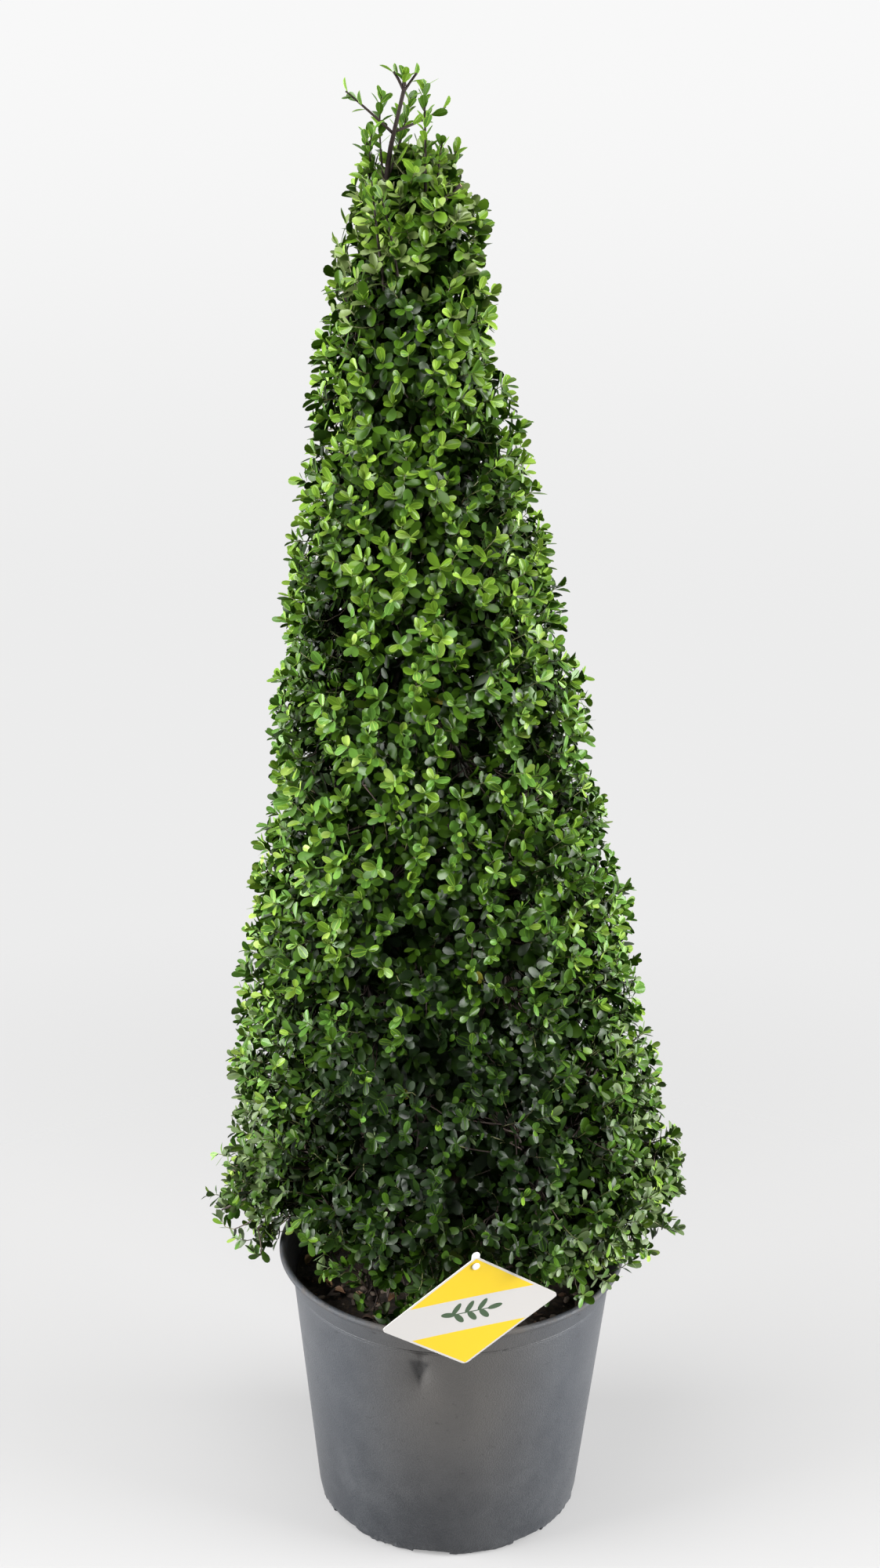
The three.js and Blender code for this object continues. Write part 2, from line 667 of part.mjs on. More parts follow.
// The bough of a mass, cut clear of the trunk, and the stem that goes on from its tip into the mass
function makeBough(space) {
  const reach = space.heart.clone().sub(space.centre).dot(space.outward);
  const root = trunkAt(Math.max(space.heart.z - reach * BOUGH_RISE, SOIL_TOP + ROOT_FLARE_HEIGHT));
  const heading = space.heart.clone().sub(root).normalize();
  const entry = space.bare * BOUGH_ENTRY_SHARE - space.innerWall.distanceToPoint(root);
  const tip = root.clone().addScaledVector(heading, entry / space.innerWall.normal.dot(heading));
  const stemRoot = tip.clone().addScaledVector(heading, CLEARANCE);
  const rootRadius = trunkRadius(root.z) * BOUGH_ROOT_SHARE;
  const tipRadius = trunkRadius(root.z) * BOUGH_TIP_SHARE;
  const bough = straightLimb(root, tip, rootRadius, tipRadius, BOUGH_SIDES).subtract(trunkSeat);
  addPiece(holly, `bough_${space.name}`, mainBody(bough), BARK_FINISH);
  return straightLimb(stemRoot, space.heart, tipRadius, tipRadius, BOUGH_SIDES);
}

// One mass: stem, core, twigs out of the core and a rosette of leaves on each twig
function makeMass(space, spots, random) {
  let mass = makeBough(space).add(coreSolid(space));
  const clearOfLimb = (point) => clearOfTrunk(point, LEAF_CLEAR_OF_LIMB);
  const clear = (point) => clearOfPot(point) && clearOfLabel(point) && clearOfLimb(point);
  spots.forEach(({ tip, facing, proud }) => {
    const inOutline = (point) => depthInCrown(point) > -proud;
    const fits = (point) => holds(space, point, SEAM_GAP) && inOutline(point) && clear(point);
    const twig = straightLimb(space.heart, tip, TWIG_ROOT_RADIUS, TWIG_TIP_RADIUS, TWIG_SIDES);
    const inward = space.heart.clone().sub(tip).normalize();
    const leaves = [];
    const offset = random() * 2 * Math.PI;
    for (let i = 0; i < LEAVES_A_TWIG; i += 1) {
      const turn = offset + (i * 2 * Math.PI) / LEAVES_A_TWIG;
      const spread = LEAF_SPREAD * about(LEAF_SPREAD_VARIES, random);
      const length = coreDepth(tip.z) * LEAF_LENGTH_IN_DEPTHS * about(LEAF_LENGTH_VARIES, random);
      const node = tip.clone().addScaledVector(inward, LEAF_FIRST_NODE + i * LEAF_NODE_STEP);
      const leaf = leafOnTwig(node, facing, turn, spread, length);
      if (everyPoint(leaf, fits)) {
        leaves.push(leaf);
      }
    }
    if (leaves.length > 0) {
      mass = mass.add(twig);
      leaves.forEach((leaf) => {
        mass = mass.add(solidFrom(leaf));
      });
    }
  });
  return mass;
}

// A leafy shoot along a curve, with leaves in turn on either side
function shootSolid(points, fits, random, bareShare) {
  const curve = new THREE.CatmullRomCurve3(points);
  const length = curve.getLength();
  const radiusAt = (share) => SHOOT_RADIUS * (1 - SHOOT_TAPER * share);
  let shoot = limb(curve, radiusAt, SHOOT_SIDES, SHOOT_STEPS);
  let turn = random() * Math.PI;
  for (let along = length * bareShare; along < length; along += SHOOT_LEAF_STEP) {
    const share = along / length;
    const heading = curve.getTangentAt(share);
    const leafLength = SHOOT_LEAF_LENGTH * about(LEAF_LENGTH_VARIES, random);
    const leaf = leafOnTwig(curve.getPointAt(share), heading, turn, LEAF_SPREAD, leafLength);
    turn += GOLDEN_ANGLE;
    if (everyPoint(leaf, fits)) {
      shoot = shoot.add(solidFrom(leaf));
    }
  }
  return shoot;
}

// Twig tips that belong to a space, drawn in from its walls so that leaves fit on every side
function ownSpots(space, spots) {
  const own = spots.filter(({ tip }) => holds(space, tip, 0));
  own.forEach(({ tip }) => {
    space.walls.forEach((plane) => {
      const short = TWIG_WALL_MARGIN - plane.distanceToPoint(tip);
      tip.addScaledVector(plane.normal, Math.max(short, 0));
    });
  });
  return own;
}

// The masses of the crown; the shoulder mass at the front right also carries the upright shoot
function makeCrown() {
  const random = seededRandom(CROWN_SEED);
  const spots = crownLattice(TWIG_COUNT, random).concat(lowSprays());
  TIERS.forEach((tier, tierIndex) => {
    for (let sector = 0; sector < tier.sectors; sector += 1) {
      const space = massSpace(tierIndex, sector);
      let mass = makeMass(space, ownSpots(space, spots), random);
      if (holds(space, UPRIGHT_SHOOT_FOOT, TWIG_WALL_MARGIN)) {
        const open = { ...space, walls: space.walls.filter((plane) => plane !== space.ceiling) };
        const inFront = (point) => point.y < SHOOT_SPLIT_Y - CLEARANCE && holds(open, point, SEAM_GAP);
        const points = [space.heart, UPRIGHT_SHOOT_FOOT, UPRIGHT_SHOOT_TIP];
        mass = mass.add(shootSolid(points, inFront, random, UPRIGHT_SHOOT_BARE_SHARE));
      }
      addPiece(holly, `foliage_${space.name}`, mainBody(mass), LEAF_FINISH);
    }
  });
}

// Shoots on the bare leader: one to each side and a tuft on its tip
function makeLeaderShoots() {
  const random = seededRandom(SHOOT_SEED);
  const across = (point) => point.x - SHOOT_SPLIT_X + SHOOT_SPLIT_SLOPE * (point.z - SHOOT_SPLIT_Z);
  const clear = (point) => {
    return point.y > SHOOT_SPLIT_Y + CLEARANCE && clearOfTrunk(point, LEAF_CLEAR_OF_LIMB);
  };
  const aboveCrown = (point) => point.z > SHOULDER_CEILING + CLEARANCE;
  const shoots = [
    {
      name: "shoot_left",
      points: [trunkAt(LEFT_SHOOT_ROOT_Z), LEFT_SHOOT_BEND, LEFT_SHOOT_TIP],
      own: (point) => across(point) < -SHOOT_SPLIT_GAP,
    },
    {
      name: "shoot_right",
      points: [trunkAt(RIGHT_SHOOT_ROOT_Z), RIGHT_SHOOT_BEND, RIGHT_SHOOT_TIP],
      own: (point) => across(point) > SHOOT_SPLIT_GAP && point.z < SHOOT_SPLIT_Z - SHOOT_SPLIT_GAP,
    },
  ];
  shoots.forEach(({ name, points, own }) => {
    const fits = (point) => clear(point) && aboveCrown(point) && own(point);
    const shoot = shootSolid(points, fits, random, LEADER_SHOOT_BARE_SHARE).subtract(trunkSeat);
    addPiece(holly, name, mainBody(shoot), SHOOT_FINISH);
  });
  const leaderTip = trunkAt(TRUNK_TOP);
  const tuftFoot = new THREE.Vector3(leaderTip.x, leaderTip.y, TRUNK_TOP + CLEARANCE);
  const tuftTip = tuftFoot.clone().add(TUFT_STEM);
  const over = (point) => across(point) > SHOOT_SPLIT_GAP && point.z > SHOOT_SPLIT_Z + SHOOT_SPLIT_GAP;
  let tuft = straightLimb(tuftFoot, tuftTip, TRUNK_TIP_RADIUS, TRUNK_TIP_RADIUS, SHOOT_SIDES);
  for (let i = 0; i < TUFT_LEAVES; i += 1) {
    const leaf = leafOnTwig(tuftTip, UP, i * GOLDEN_ANGLE, TUFT_SPREAD, TUFT_LEAF_LENGTH);
    if (everyPoint(leaf, (point) => clear(point) && over(point))) {
      tuft = tuft.add(solidFrom(leaf));
    }
  }
  addPiece(holly, "shoot_leader_tuft", mainBody(tuft), SHOOT_FINISH);
}

// Label
function diamondShape() {
  const half = { x: LABEL_WIDTH / 2, y: LABEL_HEIGHT / 2 };
  const corners = [
    new THREE.Vector2(half.x, 0),
    new THREE.Vector2(0, half.y),
    new THREE.Vector2(-half.x, 0),
    new THREE.Vector2(0, -half.y),
  ];
  const shape = new THREE.Shape();
  corners.forEach((corner, i) => {
    const before = corners[(i + 3) % 4].clone().lerp(corner, 1 - LABEL_CORNER);
    const after = corner.clone().lerp(corners[(i + 1) % 4], LABEL_CORNER);
    if (i === 0) {
      shape.moveTo(before.x, before.y);
    } else {
      shape.lineTo(before.x, before.y);
    }
    shape.quadraticCurveTo(corner.x, corner.y, after.x, after.y);
  });
  const hole = new THREE.Path();
  hole.absarc(0, half.y - LABEL_HOLE_INSET, LABEL_HOLE_RADIUS, 0, 2 * Math.PI, true);
  shape.holes.push(hole);
  return shape;
}

// Side view of the clip: a strap behind the card with a hook over the lip
function clipProfile() {
  const front = -CLEARANCE;
  const back = front - CLIP_THICK;
  const top = LABEL_HEIGHT / 2 + CLIP_TAB;
  const hookTop = CLIP_HOOK_Y + CLIP_THICK;
  const shape = new THREE.Shape();
  shape.moveTo(front, top);
  shape.lineTo(back, top);
  shape.lineTo(back, hookTop);
  shape.lineTo(-CLIP_HOOK_REACH - CLIP_THICK, hookTop);
  shape.lineTo(-CLIP_HOOK_REACH - CLIP_THICK, CLIP_HOOK_Y - CLIP_HOOK_LEG);
  shape.lineTo(-CLIP_HOOK_REACH, CLIP_HOOK_Y - CLIP_HOOK_LEG);
  shape.lineTo(-CLIP_HOOK_REACH, CLIP_HOOK_Y);
  shape.lineTo(back, CLIP_HOOK_Y);
  shape.lineTo(back, CLIP_FOOT_Y);
  shape.lineTo(front, CLIP_FOOT_Y);
  return shape;
}

function discSolid(radius, from, to) {
  const disc = new THREE.CylinderGeometry(radius, radius, to - from, CLIP_ROUND_SIDES);
  disc.rotateX(Math.PI / 2);
  disc.translate(0, LABEL_HEIGHT / 2 - LABEL_HOLE_INSET, (from + to) / 2);
  return solidFrom(disc);
}

function makeLabel() {
  const label = new THREE.Group();
  label.position.copy(labelCentre);
  label.quaternion.setFromRotationMatrix(new THREE.Matrix4().makeBasis(labelRight, labelUp, labelOut));
  const flat = { depth: LABEL_THICK, bevelEnabled: false, curveSegments: LABEL_CORNER_STEPS };
  const card = new THREE.ExtrudeGeometry(diamondShape(), flat);
  addPiece(label, "label_card", solidFrom(card), LABEL_FINISH);
  const strap = new THREE.ExtrudeGeometry(clipProfile(), { depth: CLIP_WIDTH, bevelEnabled: false });
  strap.translate(0, 0, -CLIP_WIDTH / 2);
  strap.rotateY(-Math.PI / 2);
  const buttonFoot = LABEL_THICK + CLEARANCE;
  const pin = discSolid(CLIP_PIN_RADIUS, -CLIP_THICK, buttonFoot + CLIP_BUTTON_THICK / 2);
  const button = discSolid(CLIP_BUTTON_RADIUS, buttonFoot, buttonFoot + CLIP_BUTTON_THICK);
  addPiece(label, "label_clip", solidFrom(strap).add(pin).add(button), CLIP_FINISH);
  holly.add(label);
}

makePot();
makeSoil();
addPiece(holly, "trunk", trunkSolid(0), BARK_FINISH);
makeCrown();
makeLeaderShoots();
makeLabel();

export default holly;
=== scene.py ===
import math

import bpy
import numpy as np
from mathutils import Matrix, Vector, noise


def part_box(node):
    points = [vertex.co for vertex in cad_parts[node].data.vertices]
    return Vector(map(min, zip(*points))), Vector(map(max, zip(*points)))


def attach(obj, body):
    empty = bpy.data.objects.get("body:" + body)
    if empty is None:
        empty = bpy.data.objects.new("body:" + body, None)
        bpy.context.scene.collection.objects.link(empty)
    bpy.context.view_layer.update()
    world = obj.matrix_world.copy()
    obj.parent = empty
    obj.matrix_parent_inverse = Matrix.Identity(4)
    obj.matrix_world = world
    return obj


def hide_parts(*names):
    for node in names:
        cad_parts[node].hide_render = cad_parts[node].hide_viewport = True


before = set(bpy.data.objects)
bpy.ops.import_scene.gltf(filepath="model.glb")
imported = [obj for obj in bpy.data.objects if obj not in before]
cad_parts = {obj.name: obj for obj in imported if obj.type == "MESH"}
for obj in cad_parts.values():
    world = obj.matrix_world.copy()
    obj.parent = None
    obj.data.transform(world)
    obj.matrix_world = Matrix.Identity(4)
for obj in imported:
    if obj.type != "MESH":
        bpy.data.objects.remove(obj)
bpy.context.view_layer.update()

# Pot: a round nursery container moulded in charcoal plastic, with a thin ledge under a flared band
# and a rolled lip. One circle is drawn up ring by ring from the foot, over the lip and down inside.
# Slots cut round the foot let water out, and handling has dented the wall and dusted the lip.
_, pot_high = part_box("pot")
POT_HEIGHT = pot_high.z
RIM_RADIUS = pot_high.x
POT_SEGMENTS = 280
FOOT_RADIUS = 0.153
FOOT_ROUND = 0.006
LEDGE_Z = 0.284
WALL_RADIUS_AT_LEDGE = 0.184
WALL_TOP_Z = 0.281
LEDGE_PROUD = 0.0008
LEDGE_THICK = 0.004
LEDGE_ROUND = 0.002
LEDGE_CREASE = 0.0006
BAND_RADIUS = 0.186
BAND_FLARE = ((0.0003, 0.0006), (0.0035, 0.009), (0.0078, 0.0175))
LIP_HEIGHT = 0.009
LIP_WIDTH = 0.0075
LIP_TUCK = 0.0012
POT_WALL = 0.003
POT_FLOOR = 0.004
INNER_TOP_Z = 0.278
WALL_RINGS = 42
INNER_RINGS = 8
CENTRE_RING = 0.02
DRAIN_SLOTS = 8
DRAIN_SLOT_SIZE = (0.016, 0.042, 0.012)
DRAIN_SLOT_TURN = math.radians(-97)
DENT_AZIMUTH = math.radians(-101)
DENT_Z = 0.246
DENT_SIZE = (0.024, 0.03)
DENT_DEPTH = 0.0034
CREASE_UP = 0.012
CREASE_SIZE = (0.008, 0.018)
CREASE_DEPTH = 0.0042
OUT_OF_ROUND = 0.0004
OUT_OF_ROUND_LOBES = 3
OUT_OF_ROUND_TURN = 0.7
BURR_HEIGHT = 0.009
BURR_DEPTH = 0.0024
BURR_GRAIN = 170
POT_CRISP_ANGLE = 35


def arc(centre_radius, centre_z, radius, start, end, steps):
    """Ring radius and height along part of a circle, by angles in degrees from straight out."""
    angles = np.radians(np.linspace(start, end, steps))
    return [(centre_radius + radius * math.cos(a), centre_z + radius * math.sin(a)) for a in angles]


def start_shape(add, **settings):
    """Adds one of Blender's plain shapes, with nothing else selected, as the start of a piece."""
    bpy.ops.object.select_all(action="DESELECT")
    add(**settings)
    return bpy.context.object


def draw_rings(name, segments, rings):
    """A closed turned shape: a circle drawn out ring by ring, its two ends gathered to a point."""
    radius, height = rings[0]
    piece = start_shape(bpy.ops.mesh.primitive_circle_add, vertices=segments, radius=radius)
    piece.name = name
    piece.data.name = name
    bpy.ops.object.mode_set(mode="EDIT")
    bpy.ops.mesh.select_mode(type="VERT")
    bpy.ops.mesh.select_all(action="SELECT")
    bpy.ops.transform.translate(value=(0, 0, height))
    for next_radius, next_height in rings[1:]:
        bpy.ops.mesh.extrude_edges_move(TRANSFORM_OT_translate={"value": (0, 0, next_height - height)})
        scale = next_radius / radius
        bpy.ops.transform.resize(value=(scale, scale, 1), center_override=(0, 0, next_height))
        radius, height = next_radius, next_height
    bpy.ops.mesh.merge(type="CENTER")
    bpy.ops.mesh.select_all(action="DESELECT")
    bpy.ops.mesh.select_non_manifold()
    bpy.ops.mesh.merge(type="CENTER")
    bpy.ops.mesh.select_all(action="SELECT")
    bpy.ops.mesh.normals_make_consistent(inside=False)
    bpy.ops.object.mode_set(mode="OBJECT")
    return piece


def points_of(piece):
    """The points of a piece's mesh as an array."""
    points = np.empty(len(piece.data.vertices) * 3)
    piece.data.vertices.foreach_get("co", points)
    return points.reshape(-1, 3)


def move_points(piece, points):
    """Puts a piece's mesh points where an array says."""
    piece.data.vertices.foreach_set("co", np.asarray(points, np.float32).ravel())
    piece.data.update()


def apply_modifier(piece, kind, **settings):
    """Gives a piece a modifier and applies it."""
    bpy.ops.object.select_all(action="DESELECT")
    bpy.context.view_layer.objects.active = piece
    modifier = piece.modifiers.new("step", kind)
    for key, value in settings.items():
        setattr(modifier, key, value)
    bpy.ops.object.modifier_apply(modifier=modifier.name)


def cut_away(piece, cutter):
    """Cuts one piece with another, which is used up."""
    apply_modifier(piece, "BOOLEAN", object=cutter, solver="EXACT")
    bpy.data.objects.remove(cutter)


def smooth_faces(piece, degrees):
    """Shades a piece smooth, with crisp edges where its faces turn by more than an angle."""
    bpy.ops.object.select_all(action="DESELECT")
    piece.select_set(True)
    bpy.context.view_layer.objects.active = piece
    bpy.ops.object.shade_smooth_by_angle(angle=math.radians(degrees))


def wall_radius(z):
    """The outer radius of the pot's tapered wall at a height."""
    return FOOT_RADIUS + (WALL_RADIUS_AT_LEDGE - FOOT_RADIUS) * z / LEDGE_Z


ledge_top = LEDGE_Z + LEDGE_THICK
lip_round = LIP_WIDTH / 2
lip_centre = (RIM_RADIUS - lip_round, POT_HEIGHT - lip_round)
lip_foot = POT_HEIGHT - LIP_HEIGHT
pot_rings = [(CENTRE_RING, 0)]
pot_rings += arc(FOOT_RADIUS - FOOT_ROUND, FOOT_ROUND, FOOT_ROUND, -90, 0, 6)
pot_rings += [(wall_radius(z), z) for z in np.linspace(2 * FOOT_ROUND, WALL_TOP_Z, WALL_RINGS)]
pot_rings += [(wall_radius(LEDGE_Z), LEDGE_Z - LEDGE_CREASE)]
ledge_centre = (wall_radius(LEDGE_Z) + LEDGE_PROUD - LEDGE_ROUND, LEDGE_Z + LEDGE_ROUND)
pot_rings += arc(*ledge_centre, LEDGE_ROUND, -60, 80, 6)
pot_rings += [(BAND_RADIUS + out, ledge_top + up) for out, up in BAND_FLARE]
pot_rings += [(RIM_RADIUS - lip_round - LIP_TUCK, lip_foot)]
pot_rings += arc(*lip_centre, lip_round, -55, 200, 14)
pot_rings += [(RIM_RADIUS - LIP_WIDTH - LIP_TUCK, lip_foot), (BAND_RADIUS - POT_WALL, ledge_top)]
pot_rings += [(wall_radius(z) - POT_WALL, z) for z in np.linspace(INNER_TOP_Z, POT_FLOOR, INNER_RINGS)]
pot_rings += [(CENTRE_RING, POT_FLOOR)]
pot = draw_rings("nursery_pot", POT_SEGMENTS, pot_rings)
points = points_of(pot)
azimuths = np.arctan2(points[:, 1], points[:, 0])
heights = points[:, 2]
around = np.angle(np.exp(1j * (azimuths - DENT_AZIMUTH))) * WALL_RADIUS_AT_LEDGE
dent = np.exp(-((around / DENT_SIZE[0]) ** 2) - ((heights - DENT_Z) / DENT_SIZE[1]) ** 2)
crease_z = DENT_Z + CREASE_UP
crease = np.exp(-((around / CREASE_SIZE[0]) ** 2) - ((heights - crease_z) / CREASE_SIZE[1]) ** 2)
lobes = np.cos(OUT_OF_ROUND_LOBES * azimuths + OUT_OF_ROUND_TURN)
wobble = OUT_OF_ROUND * lobes * heights / POT_HEIGHT
radii = np.hypot(points[:, 0], points[:, 1])
burr = np.array([noise.fractal(Vector(point * BURR_GRAIN), 0.6, 2.0, 3) for point in points])
burr *= BURR_DEPTH * np.clip(1 - heights / BURR_HEIGHT, 0, 1) * (radii > FOOT_RADIUS - FOOT_ROUND)
push = wobble + burr - DENT_DEPTH * dent - CREASE_DEPTH * crease
points[:, :2] *= (1 + push / np.maximum(radii, CENTRE_RING))[:, None]
move_points(pot, points)
cutters = []
for slot in range(DRAIN_SLOTS):
    cutter = start_shape(bpy.ops.mesh.primitive_cube_add, size=1, location=(FOOT_RADIUS, 0, 0))
    cutter.scale = DRAIN_SLOT_SIZE
    turn = DRAIN_SLOT_TURN + slot * 2 * math.pi / DRAIN_SLOTS
    bpy.ops.object.transform_apply(location=True, rotation=False, scale=True)
    cutter.data.transform(Matrix.Rotation(turn, 4, "Z"))
    cutters.append(cutter)
for cutter in cutters:
    cutter.select_set(True)
bpy.ops.object.join()
cut_away(pot, bpy.context.object)
smooth_faces(pot, POT_CRISP_ANGLE)


class Value:
    """One socket in a material, so that shader maths reads as plain expressions."""

    def __init__(self, tree, socket):
        self.tree = tree
        self.socket = socket

    def node(self, kind, settings, sockets, output=0):
        """Adds any node: its settings first, then the values or links of its sockets."""
        made = self.tree.nodes.new(kind)
        for key, setting in settings.items():
            setattr(made, key, setting)
        for key, value in sockets.items():
            if isinstance(value, Value):
                self.tree.links.new(value.socket, made.inputs[key])
            else:
                made.inputs[key].default_value = value
        return Value(self.tree, made.outputs[output])

    def maths(self, operation, first, second=0.0):
        return self.node("ShaderNodeMath", {"operation": operation}, {0: first, 1: second})

    def __add__(self, other):
        return self.maths("ADD", self, other)

    def __sub__(self, other):
        return self.maths("SUBTRACT", self, other)

    def __rsub__(self, other):
        return self.maths("SUBTRACT", other, self)

    def __mul__(self, other):
        return self.maths("MULTIPLY", self, other)

    __radd__ = __add__
    __rmul__ = __mul__

    def size(self):
        """A value without its sign."""
        return self.maths("ABSOLUTE", self)

    def length(self):
        """How far a place lies from the origin."""
        return self.node("ShaderNodeVectorMath", {"operation": "LENGTH"}, {0: self}, 1)

    def over(self, low, high):
        """Rises softly from 0 to 1 between two values."""
        ease = {"interpolation_type": "SMOOTHSTEP"}
        return self.node("ShaderNodeMapRange", ease, {"Value": self, "From Min": low, "From Max": high})

    def part(self, axis):
        """One of the three parts of a place."""
        return self.node("ShaderNodeSeparateXYZ", {}, {0: self}, "XYZ".index(axis))

    def stretched(self, scale):
        return self.node("ShaderNodeMapping", {}, {"Vector": self, "Scale": scale})

    def noise(self, scale, detail=4.0, roughness=0.55):
        sockets = {"Vector": self, "Scale": scale, "Detail": detail, "Roughness": roughness}
        return self.node("ShaderNodeTexNoise", {}, sockets)

    def mix(self, first, second):
        """A colour between two, this value being the share of the second."""
        first, second = (c if isinstance(c, Value) else (*c, 1) for c in (first, second))
        return self.node("ShaderNodeMix", {"data_type": "RGBA"}, {0: self, 6: first, 7: second}, 2)

    def bump(self, strength, distance):
        sockets = {"Strength": strength, "Distance": distance, "Height": self}
        return self.node("ShaderNodeBump", {}, sockets)

    def feed(self, surface, name):
        self.tree.links.new(self.socket, surface.inputs[name])


def new_material(name, output="Object"):
    """A material, its surface shader and the place on the piece that its pattern reads."""
    material = bpy.data.materials.new(name)
    material.use_nodes = True
    tree = material.node_tree
    surface = tree.nodes["Principled BSDF"]
    place = Value(tree, tree.nodes.new("ShaderNodeTexCoord").outputs[output])
    return material, surface, place


CHARCOAL = (0.016, 0.019, 0.024)
FADED_CHARCOAL_WITH_PAINTED_LIGHT = (0.037, 0.041, 0.048)
WORN_CHARCOAL = (0.075, 0.079, 0.085)
DUST_AND_PAINTED_LIGHT = (0.1, 0.092, 0.083)
LIP_DUST = (0.105, 0.086, 0.068)
RUBBED_AND_SHADE_DARK = (0.014, 0.014, 0.015)
# Painted shade on the pot's inner wall.
INNER_WALL_SHADE = (0.009, 0.008, 0.007)
POT_GLOSS = 0.33
INNER_FLARE = 0.36
INNER_EDGE = (0.0012, 0.002)
# The pale film on the pot's front is part dust and part painted light from above: its share at the foot,
# its rise and its middle.
PAINTED_LIGHT_AT_FOOT = 0.12
PAINTED_LIGHT_RISE = 0.55
PAINTED_LIGHT_MIDDLE = 0.005
# Place, size and strength of the painted shade in the dent's crease.
DENT_SHADE_FOOT = crease_z - 0.021
DENT_SHADE_HEIGHT = 0.036
DENT_SHADE_HALF_WIDTH = 0.013
DENT_SHADE_SHARE = 0.75
LIP_DUST_SHARE = 0.35
INNER_WALL_SHADE_SHARE = 0.85
WEAR_SPARED = 0.13
WEAR_LOST_ON_LIP = 0.6
pot_plastic, surface, place = new_material("charcoal_plastic")
surface.inputs["Specular IOR Level"].default_value = POT_GLOSS
height = place.part("Z")
front = (0 - place.part("Y")).over(0.05, 0.12)
cloud = place.noise(9.0)
mottle = place.noise(38.0, 5.0, 0.65)
speckle = place.noise(640.0, 2.0).over(0.3, 0.7)
scuffs = place.stretched((26.0, 26.0, 210.0)).noise(1.0, 6.0, 0.7).over(0.56, 0.72)
rubbed = place.stretched((95.0, 95.0, 130.0)).noise(1.0, 4.0, 0.6).over(0.62, 0.72)
handled = height.over(LEDGE_Z - 0.03, LEDGE_Z + 0.02)
dusty = height.over(lip_foot - 0.004, POT_HEIGHT) * place.noise(60.0).over(0.4, 0.62)
foot_scrape = (1 - height.over(0.0, 0.02)) * place.noise(140.0).over(0.48, 0.6)
# A pale film, part dust and part painted light from above and the front, lies on the pot's front, strongest
# high up and in the middle.
from_middle = (place.part("X") - PAINTED_LIGHT_MIDDLE).size()
dust_and_painted_light = (PAINTED_LIGHT_AT_FOOT + PAINTED_LIGHT_RISE * height.over(0.03, 0.25)) * (1 - from_middle.over(0.02, 0.13))
dust_and_painted_light = dust_and_painted_light * (0.7 + 0.6 * cloud) * front
# A wedge of painted shade sits in the crease of the dent, on the pot's front.
from_dent = (place.part("X") - wall_radius(crease_z) * math.cos(DENT_AZIMUTH)).size()
up_dent = (height - DENT_SHADE_FOOT) * (1 / DENT_SHADE_HEIGHT)
wedge = (up_dent * DENT_SHADE_HALF_WIDTH - from_dent).over(-0.003, 0.005)
painted_dent_shade = wedge * (1 - up_dent.over(0.85, 1.1)) * front
# The plastic grows lighter towards the top: faded, and painted light from above.
plastic = height.over(0.0, 0.24).mix(CHARCOAL, FADED_CHARCOAL_WITH_PAINTED_LIGHT)
wear = cloud.over(0.35, 0.75) * 0.28 + mottle.over(0.3, 0.75) * 0.2 + speckle * 0.26
wear = wear + scuffs * (0.1 + 0.3 * handled) + foot_scrape * 0.3 + handled * 0.2
wear = wear * (1 - WEAR_LOST_ON_LIP * height.over(lip_foot - 0.002, lip_foot + 0.003))
worn = dust_and_painted_light.mix((wear - WEAR_SPARED).mix(plastic, WORN_CHARCOAL), DUST_AND_PAINTED_LIGHT)
# Real rubs and the painted shade of the dent darken the plastic.
darkened = (rubbed * (0.3 + 0.35 * handled) + painted_dent_shade * DENT_SHADE_SHARE).mix(worn, RUBBED_AND_SHADE_DARK)
# The inner wall above the soil, up to the lip, is painted dark as the shade inside the pot.
reach = place.stretched((1.0, 1.0, 0.0)).length()
inner_wall = BAND_RADIUS - POT_WALL
upright = reach - INNER_FLARE * (height - ledge_top)
painted_inner_shade = 1 - upright.over(inner_wall + INNER_EDGE[0], inner_wall + INNER_EDGE[1])
painted_inner_shade = painted_inner_shade * (1 - height.over(lip_foot - 0.002, lip_foot + 0.002))
dusted = (dusty * LIP_DUST_SHARE).mix(darkened, LIP_DUST)
(painted_inner_shade * INNER_WALL_SHADE_SHARE).mix(dusted, INNER_WALL_SHADE).feed(surface, "Base Color")
rough = 0.23 + 0.12 * cloud + 0.12 * mottle + 0.14 * scuffs
(rough + 0.22 * handled + 0.2 * dusty).feed(surface, "Roughness")
relief = speckle * 0.05 + mottle * 0.05 + place.noise(7.0, 2.0) * 0.9
relief.bump(0.35, 0.012).feed(surface, "Normal")
pot.data.materials.append(pot_plastic)
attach(pot, "root")
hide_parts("pot")

# Soil: moist dark potting mix that fills the pot to the ledge, sunken a little at the wall.
# A turned bed is roughened into clods, with bark chips and crumbs scattered on it.
# Brown leaves dropped by the plant lie on top, thickest at the front left where the crown is open.
soil_low, soil_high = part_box("soil")
SOIL_TOP = soil_high.z
SOIL_EDGE_DROP = 0.005
SOIL_CLEAR = 0.0006
SOIL_SHRINK = 0.006
SOIL_FOOT_ROUND = (0.008, 0.006)
SOIL_SEGMENTS = 120
SOIL_TOP_RINGS = 34
SOIL_RING_STEP = 0.005
SOIL_LAST_RING = 0.004
SOIL_SIDE_HEIGHTS = (0.1, 0.2, 0.27)
SOIL_CRISP_ANGLE = 60
SOIL_SETTLED = 0.003
SOIL_SINK_WIDTH = 0.03
CLOD_HEIGHT = 0.006
CLOD_GRAIN = 26
side_heights = (soil_low.z + SOIL_FOOT_ROUND[1], *SOIL_SIDE_HEIGHTS)
soil_side = [(wall_radius(z) - POT_WALL - SOIL_SHRINK, z) for z in side_heights]
soil_edge = wall_radius(SOIL_TOP - SOIL_EDGE_DROP) - POT_WALL - SOIL_CLEAR
soil_rings = [(CENTRE_RING, soil_low.z), (soil_side[0][0] - SOIL_FOOT_ROUND[0], soil_low.z), *soil_side]
